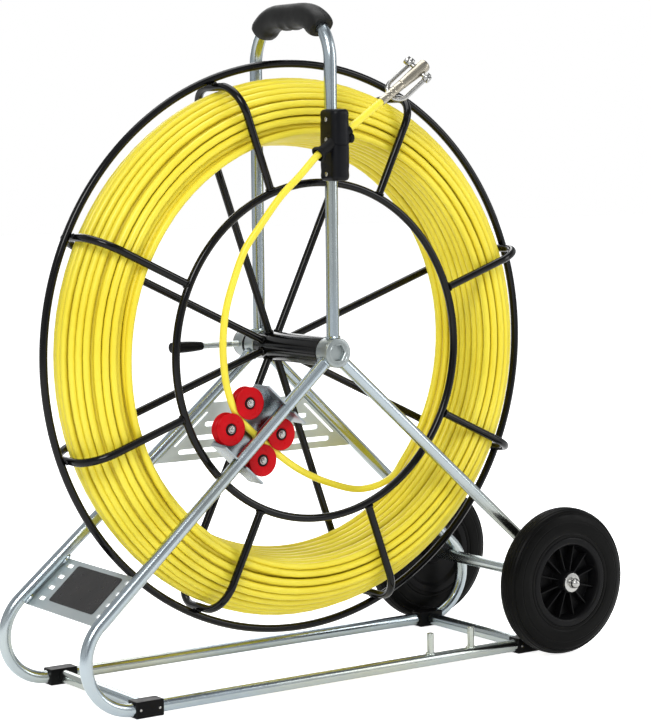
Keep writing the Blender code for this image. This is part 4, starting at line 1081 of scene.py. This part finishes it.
def coil_place(tracks, layer, share, turn):
    """Radius and Y of the rod's centre, a share of turns into a layer."""
    loop, pitch, turns = tracks[layer]
    uneven = 0.0027 * noise.noise(Vector((share * 0.93, layer * 7.1, 0.4)))
    uneven += 0.0007 * sin(share * 2.3 + layer) * sin(turn + 1.7 * share)
    spot = along_loop(loop, (share * pitch + 0.0012 + uneven) % (pitch * turns))
    left = turns - share
    if left < STEP_IN and layer + 1 < len(tracks):
        spot = spot.lerp(tracks[layer + 1][0][0], 1 - left / STEP_IN)
    radius, y = spot
    corner = hypot(radius - LOOSE_STRAND[0], y - LOOSE_STRAND[1])
    loose = max(0.0, 1 - corner / 0.0085) * max(0.0, cos(turn - LOOSE_TURN)) ** 0.7
    field = polar(1.3, turn, radius * 9 + y * 7)
    sway = 0.0016 * noise.noise(field)
    lean = 0.0013 * noise.noise(field + Vector((11.3, 4.1, 2.7)))
    own = 0.00035 * noise.noise(polar(2, turn, 31 + round(share) * 3.7))
    return radius - (0.0006 + sway + own + 0.0085 * loose), y - lean * (1 if abs(y) < 0.035 else 0.3)


def coil_path(first_point, first_turn, length):
    """The rod's centreline through the coil: each layer winds round the coil's section turn by turn."""
    tracks = coil_tracks()
    path = []
    travelled = 0.0
    turn = first_turn
    for layer, track in enumerate(tracks):
        for k in range(track[2] * TURN_STEPS):
            radius, y = coil_place(tracks, layer, k / TURN_STEPS, turn)
            ease = min(1.0, len(path) / (TURN_STEPS * 0.3))
            ease = ease * ease * (3 - 2 * ease)
            radius = first_point[0] * (1 - ease) + radius * ease
            y = first_point[1] * (1 - ease) + y * ease
            path.append(reel_point(radius, turn, y))
            travelled += (path[-1] - path[-2]).length if len(path) > 1 else 0
            if travelled > length:
                return path
            turn += TAU / TURN_STEPS
    return path


def make_rod():
    path = leader_path()
    swept("rod_lead", path, ROD_R, 20, "rod", "stand", ["rod_leader"])
    used = sum((b - a).length for a, b in zip(path, path[1:]))
    end = path[-1]
    radius = hypot(end.x - REEL_X, end.z - AXIS_Z)
    turn = atan2(end.z - AXIS_Z, end.x - REEL_X)
    winding = coil_path((radius, end.y), turn, ROD_LENGTH - used)
    swept("wound_rod", winding, ROD_R, 10, "rod", "reel", ["rod_coil"])


# --- brake

def make_brake():
    low, high = BRAKE_RING_Y
    washer = sleeve(SHAFT_BORE, BOSS_R - 0.0008, low, high - GAP)
    turned("friction_washer", washer, 72, REEL_AXIS, "rubber", "stand", ["friction_ring"], 0.0005)
    low, high = COLLAR_Y
    collar = turned("brake_sleeve", sleeve(SHAFT_BORE, BOSS_R, low, high - GAP), 72, REEL_AXIS, "zinc", "stand",
                    ["brake_collar"], 0.0008, "machined")
    carve(collar, [cutter("spindle_bore", (REEL_X - 0.0302, BRAKE_Y, AXIS_Z), (REEL_X - 0.006, BRAKE_Y, AXIS_Z),
                          SPINDLE_R + GAP)])
    left = frame_at((REEL_X, BRAKE_Y, AXIS_Z), (-1, 0, 0))
    spindle = [(0, 0.0137), (0.0034, 0.0137)]
    for k in range(11):
        spot = 0.015 + 0.0014 * k
        spindle += [(SPINDLE_R - 0.0005, spot), (SPINDLE_R, spot + 0.0007)]
    spindle += [(SPINDLE_R, 0.09), (0, 0.09)]
    turned("brake_screw", spindle, 32, left, "zinc", "screw", ["brake_spindle"], 0.0001, "satin")
    grip = [(SPINDLE_R + GAP, 0.073), (0.005, 0.073), (0.0056, 0.075), (0.0066, 0.086), (0.0072, 0.096),
            (0.0074, 0.106), (0.0074, 0.11), (0.0068, 0.111), (0.0068, 0.119), (0.006, 0.12), (0, 0.12),
            (0, 0.0906), (SPINDLE_R + GAP, 0.0906)]
    turned("brake_handle", grip, 40, left, "plastic", "screw", ["brake_grip"], 0.0008)


# --- wheels

def make_wheel(name, side):
    inside = TYRE_IN[side]
    outside = inside + TYRE_WIDTH
    body = name + "_wheel"
    place = axle_frame(REEL_X + WHEEL_DX, WHEEL_Z)
    bore = AXLE_ROD_R + GAP

    def raised(outline, base, way=1):
        """An outline whose heights are from a face of the wheel, as it stands on this side."""
        return [(radius, side * (base + way * height)) for radius, height in outline]

    tyre = raised(TYRE_WALL, outside) + raised(reversed(TYRE_WALL), inside, -1)
    turned(name + "_solid_tyre", tyre, 96, place, "tyre", body, [name + "_tyre"], 0.0003)
    rim = raised([(bore, -0.0002), (0.016, -0.0002), (0.018, 0.006), (0.046, 0.006), (0.05, 0.001), (RIM_R, 0.001)],
                 inside)
    rim += raised([(RIM_R, -0.001), (0.0575, -0.0002), (0.052, 0), (0.05, -0.001), (0.0485, -0.0045),
                   (0.046, -0.018), (0.0175, -0.018), (0.015, -0.006), (0.014, 0.002), (bore, 0.002)], outside)
    mesh = bmesh.new()
    lathe_into(mesh, soften(rim + [rim[0]], 0.0006), 96, place, closed=False)
    rib = raised([(0.0148, -0.0175), (0.047, -0.0175), (0.0482, -0.0075), (0.015, -0.0055)], outside)
    for k in range(12):
        turn = TAU * (k + 0.5) / 12
        aside = polar(0.0007, turn + pi / 2)
        loft(mesh, [[place @ (polar(radius, turn, height) + shift) for radius, height in rib]
                    for shift in (-aside, aside)])
    place_piece(name + "_ribbed_rim", mesh, "plastic", body, [name + "_rim"])
    nut = [(bore, 0), (0.0122, 0), (0.0125, 0.0006), (0.0125, 0.0016), (0.0072, 0.0018), (0.007, 0.0056)]
    for k in range(7):
        dome = polar(0.0066, pi / 2 * k / 7)
        nut.append((dome.x, 0.0062 + dome.y * 0.0072 / 0.0066))
    nut += [(0, 0.0134), (0, 0.0065), (bore, 0.0065)]
    turned(name + "_dome_nut", raised(nut, outside + 0.002 + GAP), 48, place, "bright", "stand",
           [name + "_wheel_nut"], 0.0003)


def dress_kept_nodes():
    """Better finishes on the CAD nodes whose shape stays."""
    for node, finish in KEPT_NODES.items():
        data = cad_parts[node].data
        data.materials.clear()
        data.materials.append(FINISHES[finish])


make_camera()
make_studio()
make_tubes()
make_bosses()
make_pins()
make_stand_welds()
make_clamp_rivets()
make_label_plate()
make_plate_welds()
make_clamps()
make_grip()
make_guide_block()
make_guide_tube()
make_head()
make_shackle()
make_rollers()
make_cage()
make_hub()
make_socket_bolt()
make_rod()
make_brake()
for wheel, side in SIDES.items():
    make_wheel(wheel, side)
dress_kept_nodes()
